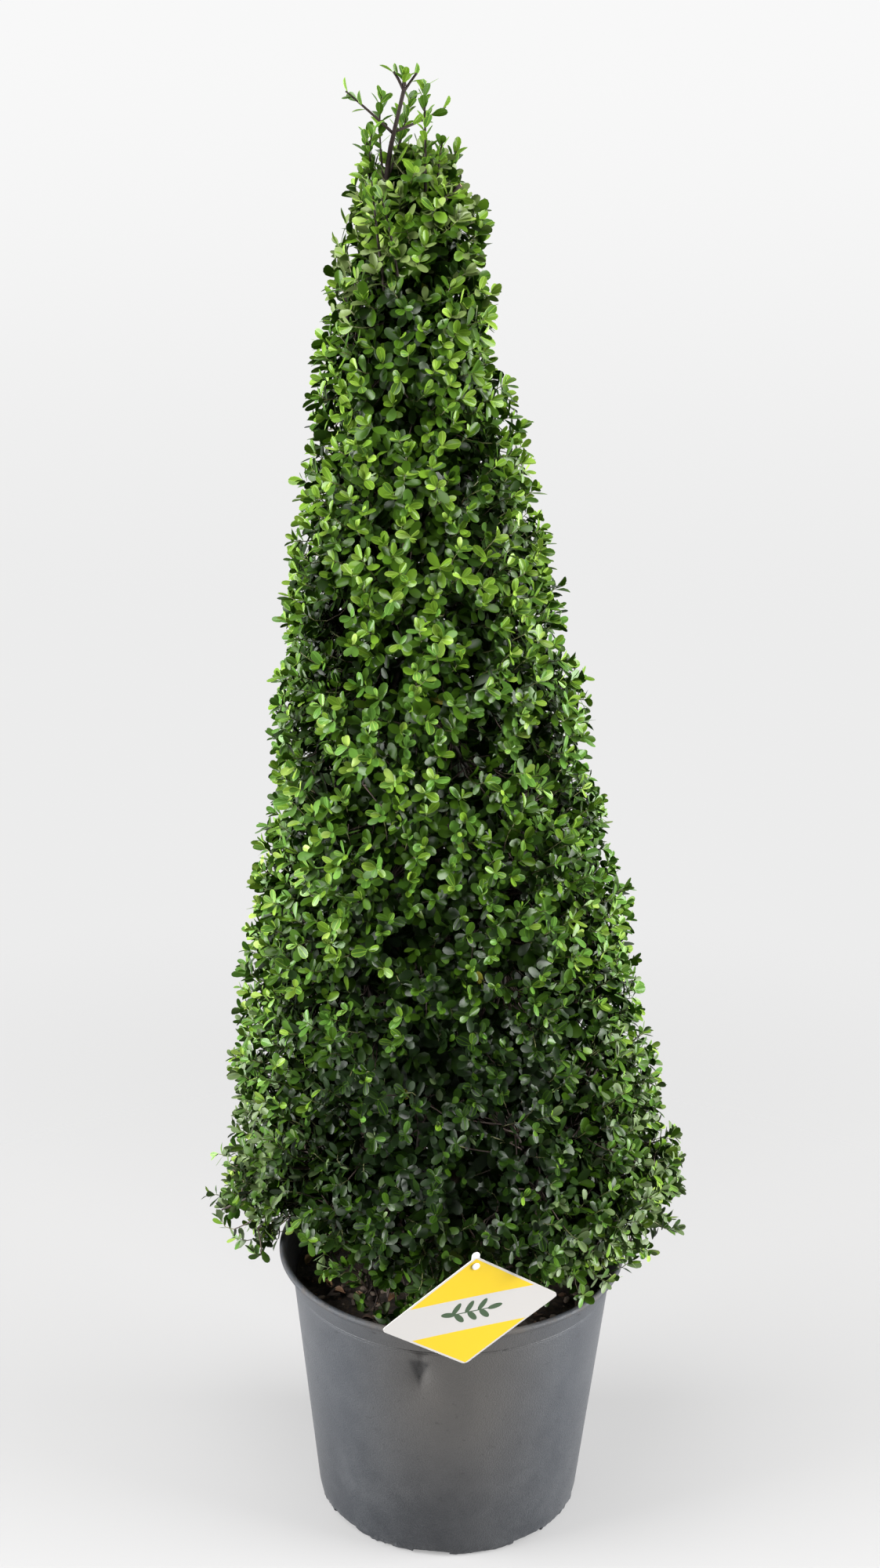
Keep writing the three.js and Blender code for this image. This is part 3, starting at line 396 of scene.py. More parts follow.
soil_rings += [(soil_edge, SOIL_TOP - SOIL_EDGE_DROP)]
top_radii = np.linspace(soil_edge - SOIL_RING_STEP, SOIL_LAST_RING, SOIL_TOP_RINGS)
soil_rings += [(radius, SOIL_TOP) for radius in top_radii]
soil = draw_rings("potting_soil", SOIL_SEGMENTS, soil_rings)


def soil_height(x, y):
    """The height of the soil's rough top at a place."""
    clods = noise.fractal(Vector((x * CLOD_GRAIN, y * CLOD_GRAIN, 0.3)), 0.7, 2.0, 4)
    sink = max(0.0, math.hypot(x, y) - soil_edge + SOIL_SINK_WIDTH) / SOIL_SINK_WIDTH
    return SOIL_TOP - SOIL_SETTLED + CLOD_HEIGHT * clods - SOIL_EDGE_DROP * sink


points = points_of(soil)
for point in points:
    if point[2] > SOIL_TOP - 0.001:
        point[2] = soil_height(point[0], point[1])
move_points(soil, points)
smooth_faces(soil, SOIL_CRISP_ANGLE)
DARK_PEAT = (0.012, 0.008, 0.005)
BROWN_PEAT = (0.06, 0.038, 0.023)
peat, surface, place = new_material("potting_mix")
grain = place.noise(170.0, 6.0, 0.7)
grain.over(0.38, 0.72).mix(DARK_PEAT, BROWN_PEAT).feed(surface, "Base Color")
(0.78 + 0.2 * place.noise(30.0)).feed(surface, "Roughness")
(grain * 0.7 + place.noise(60.0) * 0.3).bump(0.8, 0.004).feed(surface, "Normal")
soil.data.materials.append(peat)
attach(soil, "root")
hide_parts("soil")

CHIP_COUNT = 620
CHIP_SEED = 5
CHIP_MARGIN = 0.006
CHIP_SMALLEST = 0.0035
CHIP_GROWTH = 0.012
CHIP_RAGGED = 0.5
CHIP_WIDTH_SHARE = (0.4, 0.5)
CHIP_THICK_SHARE = (0.25, 0.4)
CHIP_TILT = 0.5
CHIP_TURN = 6.3
CHIP_LIFT = 0.1
LEANING_CHIP_SKEW = 0.4
LEANING_CHIP_SIZE = np.array([0.022, 0.016, 0.042])
LEANING_CHIP_PLACE = np.array([0.149, -0.095, 0.297])
CHIP_TINTS = (
    ("bark_chip_dark", (0.035, 0.022, 0.014), 0.9),
    ("bark_chip_brown", (0.1, 0.055, 0.03), 0.85),
    ("bark_chip_grey", (0.13, 0.1, 0.075), 0.9),
)


def plain_material(name, colour, roughness, gloss=0.5):
    """A plain colour for one tint of many small pieces."""
    material = bpy.data.materials.new(name)
    material.use_nodes = True
    surface = material.node_tree.nodes["Principled BSDF"]
    surface.inputs["Base Color"].default_value = (*colour, 1)
    surface.inputs["Roughness"].default_value = roughness
    surface.inputs["Specular IOR Level"].default_value = gloss
    return material


def joined_mesh(name, points, faces, materials, tints=None):
    """One piece from arrays: points, faces in groups of equal size, and which material each face has."""
    points = np.asarray(points, np.float32).reshape(-1, 3)
    mesh = bpy.data.meshes.new(name)
    mesh.vertices.add(len(points))
    mesh.vertices.foreach_set("co", points.ravel())
    corners = np.concatenate([group.ravel() for group in faces]).astype(np.int32)
    sizes = np.concatenate([np.full(len(group), group.shape[1]) for group in faces])
    starts = np.concatenate([[0], np.cumsum(sizes)[:-1]]).astype(np.int32)
    mesh.loops.add(len(corners))
    mesh.loops.foreach_set("vertex_index", corners)
    mesh.polygons.add(len(sizes))
    mesh.polygons.foreach_set("loop_start", starts)
    for material in materials:
        mesh.materials.append(material)
    if tints is not None:
        mesh.polygons.foreach_set("material_index", np.concatenate(tints).astype(np.int32))
    mesh.polygons.foreach_set("use_smooth", np.ones(len(sizes), bool))
    mesh.update(calc_edges=True)
    mesh.validate()
    piece = bpy.data.objects.new(name, mesh)
    bpy.context.scene.collection.objects.link(piece)
    return piece


def unit(vectors):
    """Vectors drawn to a length of one."""
    return vectors / np.linalg.norm(vectors, axis=-1, keepdims=True)


def soil_spot(margin):
    """A chance place on the soil, as its azimuth, x and y."""
    reach = (soil_edge - margin) * math.sqrt(chance.random())
    azimuth = chance.random() * 2 * math.pi
    return azimuth, reach * math.cos(azimuth), reach * math.sin(azimuth)


chance = np.random.default_rng(CHIP_SEED)
pattern = start_shape(bpy.ops.mesh.primitive_ico_sphere_add, subdivisions=1, radius=0.5)
chip_points = points_of(pattern)
chip_faces = np.array([face.vertices[:] for face in pattern.data.polygons])
bpy.data.objects.remove(pattern)
chips = []
for _ in range(CHIP_COUNT):
    _, x, y = soil_spot(CHIP_MARGIN)
    size = CHIP_SMALLEST + CHIP_GROWTH * chance.random() ** 3
    shape = chip_points * (1 + CHIP_RAGGED * (chance.random(chip_points.shape) - 0.5))
    width = CHIP_WIDTH_SHARE[0] + CHIP_WIDTH_SHARE[1] * chance.random()
    thick = CHIP_THICK_SHARE[0] + CHIP_THICK_SHARE[1] * chance.random()
    shape = shape * size * np.array([1, width, thick])
    tilt = Matrix.Rotation(CHIP_TILT * (chance.random() - 0.5), 3, "X")
    turned = np.array(Matrix.Rotation(chance.random() * CHIP_TURN, 3, "Z") @ tilt)
    chips.append(shape @ turned.T + (x, y, soil_height(x, y) + CHIP_LIFT * size))
leaning = chip_points * LEANING_CHIP_SIZE * (1 + LEANING_CHIP_SKEW * chip_points[:, [1, 2, 0]])
chips.append(leaning + LEANING_CHIP_PLACE)
starts = np.arange(len(chips))[:, None, None] * len(chip_points)
chip_tints = np.repeat(chance.integers(0, len(CHIP_TINTS), len(chips)), len(chip_faces))
bark_chips = joined_mesh(
    "bark_chips",
    np.concatenate(chips),
    [(chip_faces[None] + starts).reshape(-1, 3)],
    [plain_material(*tint) for tint in CHIP_TINTS],
    [chip_tints],
)
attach(bark_chips, "root")
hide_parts("soil")

DROPPED_COUNT = 90
DROPPED_WINDOW = math.radians(225)
DROPPED_HALF_WIDTH = 0.7
DROPPED_ELSEWHERE = 0.35
DROPPED_MARGIN = 0.012
DROPPED_LIFT = (0.002, 0.004)
DROPPED_TILT = 0.45
DROPPED_LENGTH = (0.013, 0.012)
DROPPED_WIDTH_SHARE = 0.46
DROPPED_SHAPE = (0.5, 0.16, 0.35)
DROPPED_TINTS = (
    ("dropped_leaf_tan", (0.4, 0.235, 0.12), 0.6),
    ("dropped_leaf_brown", (0.17, 0.09, 0.045), 0.65),
    ("dropped_leaf_dark", (0.07, 0.042, 0.026), 0.7),
    ("dropped_leaf_grey", (0.05, 0.035, 0.026), 0.7),
)
BLADE_STATIONS = ((0.0, 0.06), (0.24, 0.3), (0.58, 0.5), (0.86, 0.41), (1.0, 0.16))
FINE_STATIONS = ((0.0, 0.06), (0.16, 0.24), (0.4, 0.44), (0.65, 0.5), (0.87, 0.4), (1.0, 0.15))
RIB_WIDTH = 0.042
MARGIN_WIDTH = 0.06


def leaf_pattern(stations, ribbed, fold, curl, twist):
    """A leaf's unit blade: points along, across and above it, its faces, and which faces are pale.
    The halves cup upwards by fold, the tip curls back by curl, and the blade twists."""
    points = []
    for along, half in stations:
        margin, rib = half - min(MARGIN_WIDTH, half / 3), min(RIB_WIDTH, half / 3)
        columns = (-half, -margin, -rib, rib, margin, half) if ribbed else (-half, 0, half)
        for across in columns:
            above = 2 * fold * across**2 + twist * across * along - curl * along**2
            points.append((along, across, above))
    strips = len(columns) - 1
    first = np.arange(len(stations) - 1)[:, None] * len(columns) + np.arange(strips)
    faces = np.stack([first, first + 1, first + len(columns) + 1, first + len(columns)], -1)
    pale = np.tile((True, False, True, False, True) if ribbed else (False, False), len(stations) - 1)
    return np.array(points), faces.reshape(-1, 4), pale


def place_leaves(pattern, roots, alongs, fronts, lengths, widths):
    """Points of many leaves: a unit blade set at each root, along one way and facing another."""
    across = np.cross(alongs, fronts)
    unit_points = pattern[0]
    points = roots[:, None] + unit_points[None, :, :1] * (alongs * lengths[:, None])[:, None]
    points += unit_points[None, :, 1:2] * (across * widths[:, None])[:, None]
    points += unit_points[None, :, 2:] * (fronts * lengths[:, None])[:, None]
    return points


spots = []
while len(spots) < DROPPED_COUNT:
    azimuth, x, y = soil_spot(DROPPED_MARGIN)
    away = abs(math.remainder(azimuth - DROPPED_WINDOW, 2 * math.pi))
    if away < DROPPED_HALF_WIDTH or chance.random() < DROPPED_ELSEWHERE:
        spots.append((x, y, soil_height(x, y) + DROPPED_LIFT[0] + DROPPED_LIFT[1] * chance.random()))
spots = np.array(spots)
fronts = unit(np.array([0, 0, 1.0]) + DROPPED_TILT * chance.normal(size=spots.shape))
alongs = unit(np.cross(fronts, chance.normal(size=spots.shape)))
dropped_blade = leaf_pattern(FINE_STATIONS, False, *DROPPED_SHAPE)
lengths = DROPPED_LENGTH[0] + DROPPED_LENGTH[1] * chance.random(DROPPED_COUNT)
points = place_leaves(dropped_blade, spots, alongs, fronts, lengths, DROPPED_WIDTH_SHARE * lengths)
faces = dropped_blade[1][None] + np.arange(DROPPED_COUNT)[:, None, None] * points.shape[1]
dropped_tints = np.repeat(chance.integers(0, len(DROPPED_TINTS), DROPPED_COUNT), len(dropped_blade[1]))
dropped_leaves = joined_mesh(
    "dropped_leaves",
    points,
    [faces.reshape(-1, 4)],
    [plain_material(*tint) for tint in DROPPED_TINTS],
    [dropped_tints],
)
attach(dropped_leaves, "root")
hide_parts("soil")

# Trunk: one woody stem that leans to the left as it climbs and ends in a bare leader cut at the top.
# It follows the rings of the frame's trunk, drawn as a fine tube with fissured bark and old knots.
# The bark is grey-brown and rough at the foot, and smoother and nearly black-brown in the leader.
TRUNK_SIDES = 26
TRUNK_STEPS = 300
BARK_RELIEF = 0.09
BARK_GRAIN = 190
TRUNK_GRAIN_ALONG = 45
KNOT_GRAIN = (40, 40, 9)
KNOT_SHARE = 0.7
BARK_GLOSS = 0.2
trunk_points = {tuple(round(c, 5) for c in v.co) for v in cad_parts["trunk"].data.vertices}
trunk_levels = sorted({point[2] for point in trunk_points})
trunk_rings = [np.array([p for p in trunk_points if p[2] == level]) for level in trunk_levels]
trunk_x = [ring[:, 0].mean() for ring in trunk_rings]
trunk_y = [ring[:, 1].mean() for ring in trunk_rings]
trunk_r = []
for ring, x, y in zip(trunk_rings, trunk_x, trunk_y):
    trunk_r.append(np.hypot(ring[:, 0] - x, ring[:, 1] - y).max())


def trunk_at(z):
    """The trunk's centre at one height or several."""
    z = np.asarray(z, float)
    return np.stack([np.interp(z, trunk_levels, trunk_x), np.interp(z, trunk_levels, trunk_y), z], -1)


def trunk_radius(z):
    """The trunk's radius at one height or several."""
    return np.interp(z, trunk_levels, trunk_r)


def tubes(paths, radii, sides):
    """Points and faces of many tapering limbs with closed ends, each on its path with a radius per step."""
    count, steps, _ = paths.shape
    heading = unit(np.gradient(paths, axis=1))
    span = unit(paths[:, -1] - paths[:, 0])
    helper = np.where(np.abs(span[:, 2:]) > 0.8, np.array([[1.0, 0, 0]]), np.array([[0, 0, 1.0]]))
    first = unit(np.cross(heading, helper[:, None]))
    second = np.cross(heading, first)
    angles = np.arange(sides) * 2 * np.pi / sides
    ring = first[:, :, None] * np.cos(angles)[:, None] + second[:, :, None] * np.sin(angles)[:, None]
    points = paths[:, :, None] + ring * radii[:, :, None, None]
    here = np.arange(steps - 1)[:, None] * sides + np.arange(sides)
    beside = np.arange(steps - 1)[:, None] * sides + (np.arange(sides) + 1) % sides
    walls = np.stack([here, beside, beside + sides, here + sides], -1).reshape(-1, 4)
    last = (steps - 1) * sides + np.arange(sides)
    ends = np.stack([np.arange(sides)[::-1], last])
    offsets = np.arange(count)[:, None, None] * steps * sides
    return points, [(walls[None] + offsets).reshape(-1, 4), (ends[None] + offsets).reshape(-1, sides)]


def roughened(points, paths, grain_along):
    """Limb points pushed in and out along their radius by fissured bark and old knots."""
    outward = points - paths[:, :, None]
    flat = points.reshape(-1, 3)
    grained = flat * np.array([BARK_GRAIN, BARK_GRAIN, grain_along])
    depth = [noise.fractal(Vector(place), 0.6, 2.1, 3) for place in grained]
    knots = [noise.noise(Vector(place)) for place in flat * np.array(KNOT_GRAIN)]
    swell = 1 + BARK_RELIEF * (np.array(depth) + KNOT_SHARE * np.array(knots))
    return paths[:, :, None] + outward * swell.reshape(*points.shape[:3], 1)


trunk_heights = np.linspace(trunk_levels[0], trunk_levels[-1], TRUNK_STEPS)
trunk_path = trunk_at(trunk_heights)[None]
trunk_tube, trunk_faces = tubes(trunk_path, trunk_radius(trunk_heights)[None], TRUNK_SIDES)
trunk_tube = roughened(trunk_tube, trunk_path, TRUNK_GRAIN_ALONG)
GREY_BARK = (0.13, 0.098, 0.072)
DARK_BARK = (0.032, 0.021, 0.015)
LEADER_BARK = (0.016, 0.011, 0.01)
YOUNG_BARK_HEIGHTS = (1.3, 1.5)
bark, surface, place = new_material("holly_bark")
surface.inputs["Specular IOR Level"].default_value = BARK_GLOSS
fissures = place.stretched((150.0, 150.0, 34.0)).noise(1.0, 6.0, 0.65)
aged = fissures.over(0.36, 0.66).mix(DARK_BARK, GREY_BARK)
young = place.noise(300.0).over(0.4, 0.8).mix(LEADER_BARK, DARK_BARK)
place.part("Z").over(*YOUNG_BARK_HEIGHTS).mix(aged, young).feed(surface, "Base Color")
(0.62 + 0.3 * fissures).feed(surface, "Roughness")
fissures.bump(0.7, 0.002).feed(surface, "Normal")
trunk = joined_mesh("trunk_bark", trunk_tube, trunk_faces, [bark])
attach(trunk, "root")
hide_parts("trunk")

# Boughs: one limb to each mass of foliage, from the trunk up and out into the middle of the mass.
# They have the trunk's bark. Thinner limbs of smooth dark bark fan out of them to the clipped outline,
# and low ones arch out past the rim. All are tapering tubes along curves, and the limbs carry the twigs.
CROWN_BOTTOM = 0.318
UNDERSIDE_RADIUS = 0.172
WIDEST_Z = 0.425
WIDEST_RADIUS = 0.265
CONE_TOP_Z = 1.464
CONE_TOP_RADIUS = 0.072
CROWN_TOP = 1.543
CROWN_LEAN = -0.063
TOP_FROM = 1.43
TOP_LEAN = 0.016
TOP_LEAN_FROM = 1.28
CROWN_BULGE = 0.013
CROWN_BACK = 0.022
CROWN_CEILING = 1.549
CORE_DEPTH = 0.027
GOLDEN_ANGLE = math.pi * (3 - math.sqrt(5))
SEAM_TILT = math.radians(9)
TIERS = (("skirt", 0.3, 4, 0, 0.046), ("lower", 0.596, 3, 30, 0.04))
TIERS += (("upper", 0.918, 3, 90, 0.034), ("shoulder", 1.246, 3, 0, 0.013))
BOUGH_RISE = 0.8
LOWEST_BOUGH_UP = 0.034
BOUGH_ROOT_SHARE = 0.44
BOUGH_TIP_SHARE = 0.26
BOUGH_BEND = np.array([0.62, 0.62, 0.36])
BOUGH_GRAIN_ALONG = 90
BOUGH_STEPS = 28
BOUGH_SIDES = 12
LIMB_COUNT = 150
LIMB_DEPTH = 0.062
LIMB_STRAY = 0.012
LIMB_SAG = 0.02
LIMB_RADIUS = 0.0038
LOW_LIMB_ARCH = 0.03
LOW_LIMB_RADIUS = 0.0023
LIMB_STEPS = 12
LIMB_SIDES = 6
CROWN_SEED = 7
# Each row of low sprays is its azimuth in degrees, its reach, its height and the number of sprays.
LOW_SPRAYS = (
    (174, 0.246, 0.354, 15), (189, 0.258, 0.42, 15), (186, 0.232, 0.334, 10), (184, 0.272, 0.354, 8),
    (6, 0.243, 0.352, 17), (-7, 0.25, 0.408, 17), (-25, 0.218, 0.352, 12), (-36, 0.214, 0.366, 15),
    (-47, 0.22, 0.388, 17), (-59, 0.203, 0.38, 15), (-103, 0.196, 0.35, 12), (-112, 0.2, 0.344, 16),
    (-120, 0.194, 0.342, 10),
)


def ramp(values, start, end):
    """How far values have come from a start to an end, from 0 to 1."""
    return np.clip((values - start) / (end - start), 0, 1)


def crown_radius(z):
    """The clipped outline's radius at each height."""
    under = ramp(z, CROWN_BOTTOM, WIDEST_Z)
    skirt = UNDERSIDE_RADIUS + (WIDEST_RADIUS - UNDERSIDE_RADIUS) * np.sin(under * np.pi / 2)
    share = ramp(z, WIDEST_Z, CONE_TOP_Z)
    cone = WIDEST_RADIUS + (CONE_TOP_RADIUS - WIDEST_RADIUS) * share
    cone += CROWN_BULGE * np.sin(np.pi * share**1.5)
    return np.where(z < WIDEST_Z, skirt, cone) * np.sqrt(1 - ramp(z, CONE_TOP_Z, CROWN_TOP) ** 2)


def crown_slope(z):
    """The outline's outward direction, as its part along the radius and its part upwards."""
    step = 0.001
    rise = (crown_radius(z + step) - crown_radius(z - step)) / (2 * step)
    return 1 / np.hypot(1, rise), -rise / np.hypot(1, rise)


def crown_middle(z):
    """How far the crown's middle has leaned over at each height, and back again at the top."""
    return CROWN_LEAN * (z - WIDEST_Z) + TOP_LEAN * ramp(z, TOP_LEAN_FROM, CROWN_TOP)


def crown_lattice(count, chance):
    """Places spread evenly over the clipped outline in a golden spiral, and the way out from each."""
    levels = np.linspace(CROWN_BOTTOM + 0.001, CROWN_TOP - 0.001, 1200)
    radius = crown_radius(levels)
    slant = np.hypot(np.diff(levels), np.diff(radius))
    areas = np.concatenate([[0], np.cumsum((radius[1:] + radius[:-1]) / 2 * slant)])
    z = np.interp((np.arange(count) + 0.5) / count * areas[-1], areas, levels)
    azimuth = np.arange(count) * GOLDEN_ANGLE + 0.1 * chance.uniform(-1, 1, count)
    out, up = crown_slope(z)
    outward = np.stack([np.cos(azimuth) * out, np.sin(azimuth) * out, up], -1)
    place = np.stack([np.cos(azimuth) * crown_radius(z), np.sin(azimuth) * crown_radius(z), z], -1)
    place[:, 0] += crown_middle(z)
    place[:, 1] += CROWN_BACK
    return place, outward


def seam_under(tier):
    """A point and the upward direction of the slanting seam under a tier."""
    tilt = SEAM_TILT if tier else 0
    azimuth = tier * GOLDEN_ANGLE
    normal = (math.sin(tilt) * math.cos(azimuth), math.sin(tilt) * math.sin(azimuth), math.cos(tilt))
    return trunk_at(TIERS[tier][1]), np.array(normal)


def height_on_seam(tier, x, y):
    """The height of the seam under a tier at a place."""
    point, normal = seam_under(tier)
    return point[2] - ((x - point[0]) * normal[0] + (y - point[1]) * normal[1]) / normal[2]


tier_tops = [foot for _, foot, *_ in TIERS[1:]] + [CROWN_CEILING]
tier_centres = [trunk_at((tier[1] + top) / 2) for tier, top in zip(TIERS, tier_tops)]
mass_names, roots, hearts = [], [], []
for tier, (tier_name, foot, sectors, turn, bare) in enumerate(TIERS):
    middle_z = (max(foot, CROWN_BOTTOM) + tier_tops[tier]) / 2
    reach = (bare + float(crown_radius(middle_z)) - CORE_DEPTH) / 2
    for sector in range(sectors):
        middle = math.radians(turn + (sector + 0.5) * 360 / sectors)
        heart = tier_centres[tier] + np.array([math.cos(middle), math.sin(middle), 0]) * reach
        floor = height_on_seam(tier, heart[0], heart[1]) if tier else CROWN_BOTTOM
        ceiling = CROWN_CEILING
        if tier < len(TIERS) - 1:
            ceiling = height_on_seam(tier + 1, heart[0], heart[1])
        heart[2] = (floor + ceiling) / 2
        mass_names.append(f"{tier_name}_{sector + 1}")
        roots.append(trunk_at(max(heart[2] - reach * BOUGH_RISE, SOIL_TOP + LOWEST_BOUGH_UP)))
        hearts.append(heart)
roots, hearts = np.array(roots), np.array(hearts)


def mass_of(places):
    """The number of the mass that each place belongs to."""
    tiers = np.zeros(len(places), int)
    for tier in range(1, len(TIERS)):
        point, normal = seam_under(tier)
        tiers = np.where((places - point) @ normal > 0, tier, tiers)
    found = np.zeros(len(places), int)
    first = 0
    for tier, (_, _, sectors, turn, _) in enumerate(TIERS):
        from_centre = places - tier_centres[tier]
        azimuth = np.degrees(np.arctan2(from_centre[:, 1], from_centre[:, 0]))
        sector = ((azimuth - turn) % 360 // (360 / sectors)).astype(int)
        found = np.where(tiers == tier, first + sector, found)
        first += sectors
    return found


def curved(starts, bends, ends, steps):
    """Paths that leave a start towards a bend and come round it to an end."""
    share = np.linspace(0, 1, steps)[None, :, None]
    paths = (1 - share) ** 2 * starts[:, None] + 2 * share * (1 - share) * bends[:, None]
    return paths + share**2 * ends[:, None]


def tapered(roots, tips, steps):
    """Radii that fall evenly from root to tip."""
    share = np.linspace(0, 1, steps)[None]
    return roots[:, None] * (1 - share) + tips[:, None] * share


chance = np.random.default_rng(CROWN_SEED)
bough_paths = curved(roots, roots + (hearts - roots) * BOUGH_BEND, hearts, BOUGH_STEPS)
thick = trunk_radius(roots[:, 2])
bough_radii = tapered(thick * BOUGH_ROOT_SHARE, thick * BOUGH_TIP_SHARE, BOUGH_STEPS)
bough_tube, bough_faces = tubes(bough_paths, bough_radii, BOUGH_SIDES)
bough_tube = roughened(bough_tube, bough_paths, BOUGH_GRAIN_ALONG)
boughs = joined_mesh("boughs_bark", bough_tube, bough_faces, [bark])
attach(boughs, "root")
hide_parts(*[f"bough_{name}" for name in mass_names])

limb_places, limb_outward = crown_lattice(LIMB_COUNT, chance)
low_tips = []
for azimuth, reach, z, _ in LOW_SPRAYS:
    turn = math.radians(azimuth)
    across = CROWN_LEAN * (z - WIDEST_Z) + math.cos(turn) * reach
    low_tips.append((across, CROWN_BACK + math.sin(turn) * reach, z))
low_tips = np.array(low_tips)
limb_tips = np.concatenate([limb_places - limb_outward * LIMB_DEPTH, low_tips])
low_limb = np.arange(len(limb_tips)) >= LIMB_COUNT
limb_mass = mass_of(limb_tips)
limb_roots = bough_paths[limb_mass, chance.integers(BOUGH_STEPS // 2, BOUGH_STEPS, len(limb_tips))]
limb_bends = (limb_roots + limb_tips) / 2 + LIMB_STRAY * chance.normal(size=limb_tips.shape)
limb_bends[:, 2] += np.where(low_limb, LOW_LIMB_ARCH, -LIMB_SAG)
limb_paths = curved(limb_roots, limb_bends, limb_tips, LIMB_STEPS)
thick = np.where(low_limb, LOW_LIMB_RADIUS, LIMB_RADIUS)
limb_tube, limb_faces = tubes(limb_paths, tapered(thick, thick / 2, LIMB_STEPS), LIMB_SIDES)
LIMB_DARK = (0.013, 0.009, 0.007)
LIMB_BROWN = (0.042, 0.03, 0.022)
young_bark, surface, place = new_material("young_bark")
place.noise(160.0).over(0.35, 0.7).mix(LIMB_DARK, LIMB_BROWN).feed(surface, "Base Color")
(0.6 + 0.3 * place.noise(240.0)).feed(surface, "Roughness")
limbs = joined_mesh("limbs_bark", limb_tube, limb_faces, [young_bark])
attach(limbs, "root")
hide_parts(*[f"foliage_{name}" for name in mass_names])

# Foliage: small glossy leaves in rosettes at the ends of thin twigs, sheared to a cone. Each spray is a
# stem with leaves set round it by the golden angle, pale at its tip and dark further in. Open rosettes
# stand at the clipped face, with older sprays in the shade behind. Leaves are joined by mass, twigs too.
DEEPEST_SHARE = 0.62
CLUMP_SCALE = 16.0
CLUMP_DEPTH = 0.044
LUMP_SCALE = 4.2
LUMP_SHIFT = np.array([3.1, 0, 0])
LUMP_HEIGHT = 0.012
HOLLOW = -0.4
HOLLOW_IN_SHADE = 0.38
HEART_SPRAYS = 320
HEART_REACH = 0.19
HEART_HEIGHTS = (0.36, 0.68)
HEART_STRAY = 0.1
LOW_SPRAY_BACK = 0.008
LOW_SPRAY_SPREAD = np.array([0.014, 0.032, 0.02])
LOW_SPRAY_LIMIT = 1.6
LOW_SPRAYS_FROM_Z = 0.36
LOW_SPRAY_TURN = (0.25, 0.5)
TOP_SPRAYS = 46
TOP_INSET = (0.004, 0.003)
TOP_SPRAY_TURN = (0.8, 0.3)
WINDOW_SHARE = 0.26
WINDOW_AZIMUTH = math.radians(222)
WINDOW_HALF_WIDTH = math.radians(30)
WINDOW_Z = 0.378
SHADE_HEIGHTS = (0.95, 0.55)
SHADE_DEPTHS = (-0.08, -0.18)
LEADER_BARE_FROM = 1.51
LEADER_GAP = 0.014
OUTLINE_PROUD = 0.011
RIM_CLEAR = 0.006
HANG_FROM_Y = -0.1
# Each layer is its count of sprays, their depths under the outline, how far they turn up, and their stray.
FACE_LAYER = (1850, (0.004, 0.017), 0.46, 0.26)
BETWEEN_LAYER = (1800, (0.02, 0.048), 0.4, 0.45)
INNER_LAYER = (1250, (0.05, 0.125), 0.2, 0.6)


def clear_of_pot(points):
    """Whether points pass over the pot's rim, hang outside it or stay well inside it."""
    x, y, z = np.moveaxis(points, -1, 0)
    reach = np.hypot(x, y)
    inside = (reach < RIM_RADIUS - 2 * LIP_WIDTH) & (z > SOIL_TOP + RIM_CLEAR)
    outside = (reach > RIM_RADIUS + RIM_CLEAR) & (z > LEDGE_Z) & (y > HANG_FROM_Y)
    return (z > POT_HEIGHT + RIM_CLEAR) | inside | outside


def clear_of_leader(points):
    """Whether points leave the bare leader in sight from the front."""
    away = points - trunk_at(points[:, 2])
    return (points[:, 2] < LEADER_BARE_FROM) | (np.abs(away[:, 0]) > LEADER_GAP) | (away[:, 1] > 0)


def depth_in_crown(points):
    """How far points lie inside the clipped outline."""
    z = np.clip(points[:, 2], CROWN_BOTTOM + 0.002, CROWN_TOP - 0.002)
    reach = np.hypot(points[:, 0] - crown_middle(points[:, 2]), points[:, 1] - CROWN_BACK)
    return np.minimum((crown_radius(z) - reach) * crown_slope(z)[0], CROWN_TOP - points[:, 2])


def in_window(points):
    """Whether points lie in the gap at the front left, where the soil shows."""
    azimuth = np.arctan2(points[:, 1], points[:, 0])
    away = np.abs(np.angle(np.exp(1j * (azimuth - WINDOW_AZIMUTH))))
    return (away < WINDOW_HALF_WIDTH) & (points[:, 2] < WINDOW_Z)


def front_shade(points):
    """How far points lie in the low front of the crown, which is old and shaded, from 0 to 1."""
    return ramp(points[:, 2], *SHADE_HEIGHTS) * ramp(points[:, 1], *SHADE_DEPTHS)


# The label hangs in front of the rim, and no leaf grows into it.
LABEL_AZIMUTH = math.radians(-85.5)
LABEL_FACING = math.radians(-68)
LABEL_LEAN = math.radians(10)
LABEL_CENTRE_UP = 0.046
LABEL_RIM_Z = 0.316
LABEL_OFF_RIM = 0.01
LABEL_CLEAR = (0.112, 0.09, 0.012)
rim_out = Vector((math.cos(LABEL_AZIMUTH), math.sin(LABEL_AZIMUTH), 0))
card_out = Vector((math.cos(LABEL_FACING), math.sin(LABEL_FACING), 0))
label_out = card_out * math.cos(LABEL_LEAN) - Vector((0, 0, math.sin(LABEL_LEAN)))
label_up = card_out * math.sin(LABEL_LEAN) + Vector((0, 0, math.cos(LABEL_LEAN)))
label_right = label_up.cross(label_out)
label_foot = rim_out * (RIM_RADIUS + LABEL_OFF_RIM) + Vector((0, 0, LABEL_RIM_Z))
label_centre = label_foot + label_up * LABEL_CENTRE_UP


def clear_of_label(points):
    """Whether points keep out of a diamond a little larger than the label, from just behind it outwards."""
    offset = points - np.array(label_centre)
    across = np.abs(offset @ np.array(label_right)) / LABEL_CLEAR[0]
    along = np.abs(offset @ np.array(label_up)) / LABEL_CLEAR[1]
    return (across + along > 1) | (offset @ np.array(label_out) < -LABEL_CLEAR[2])


def turned_up(outward, upward, stray):
    """Headings that lead outwards, turned up and strayed by chance."""
    return outward + np.array([0, 0, upward]) + stray * chance.normal(size=outward.shape)


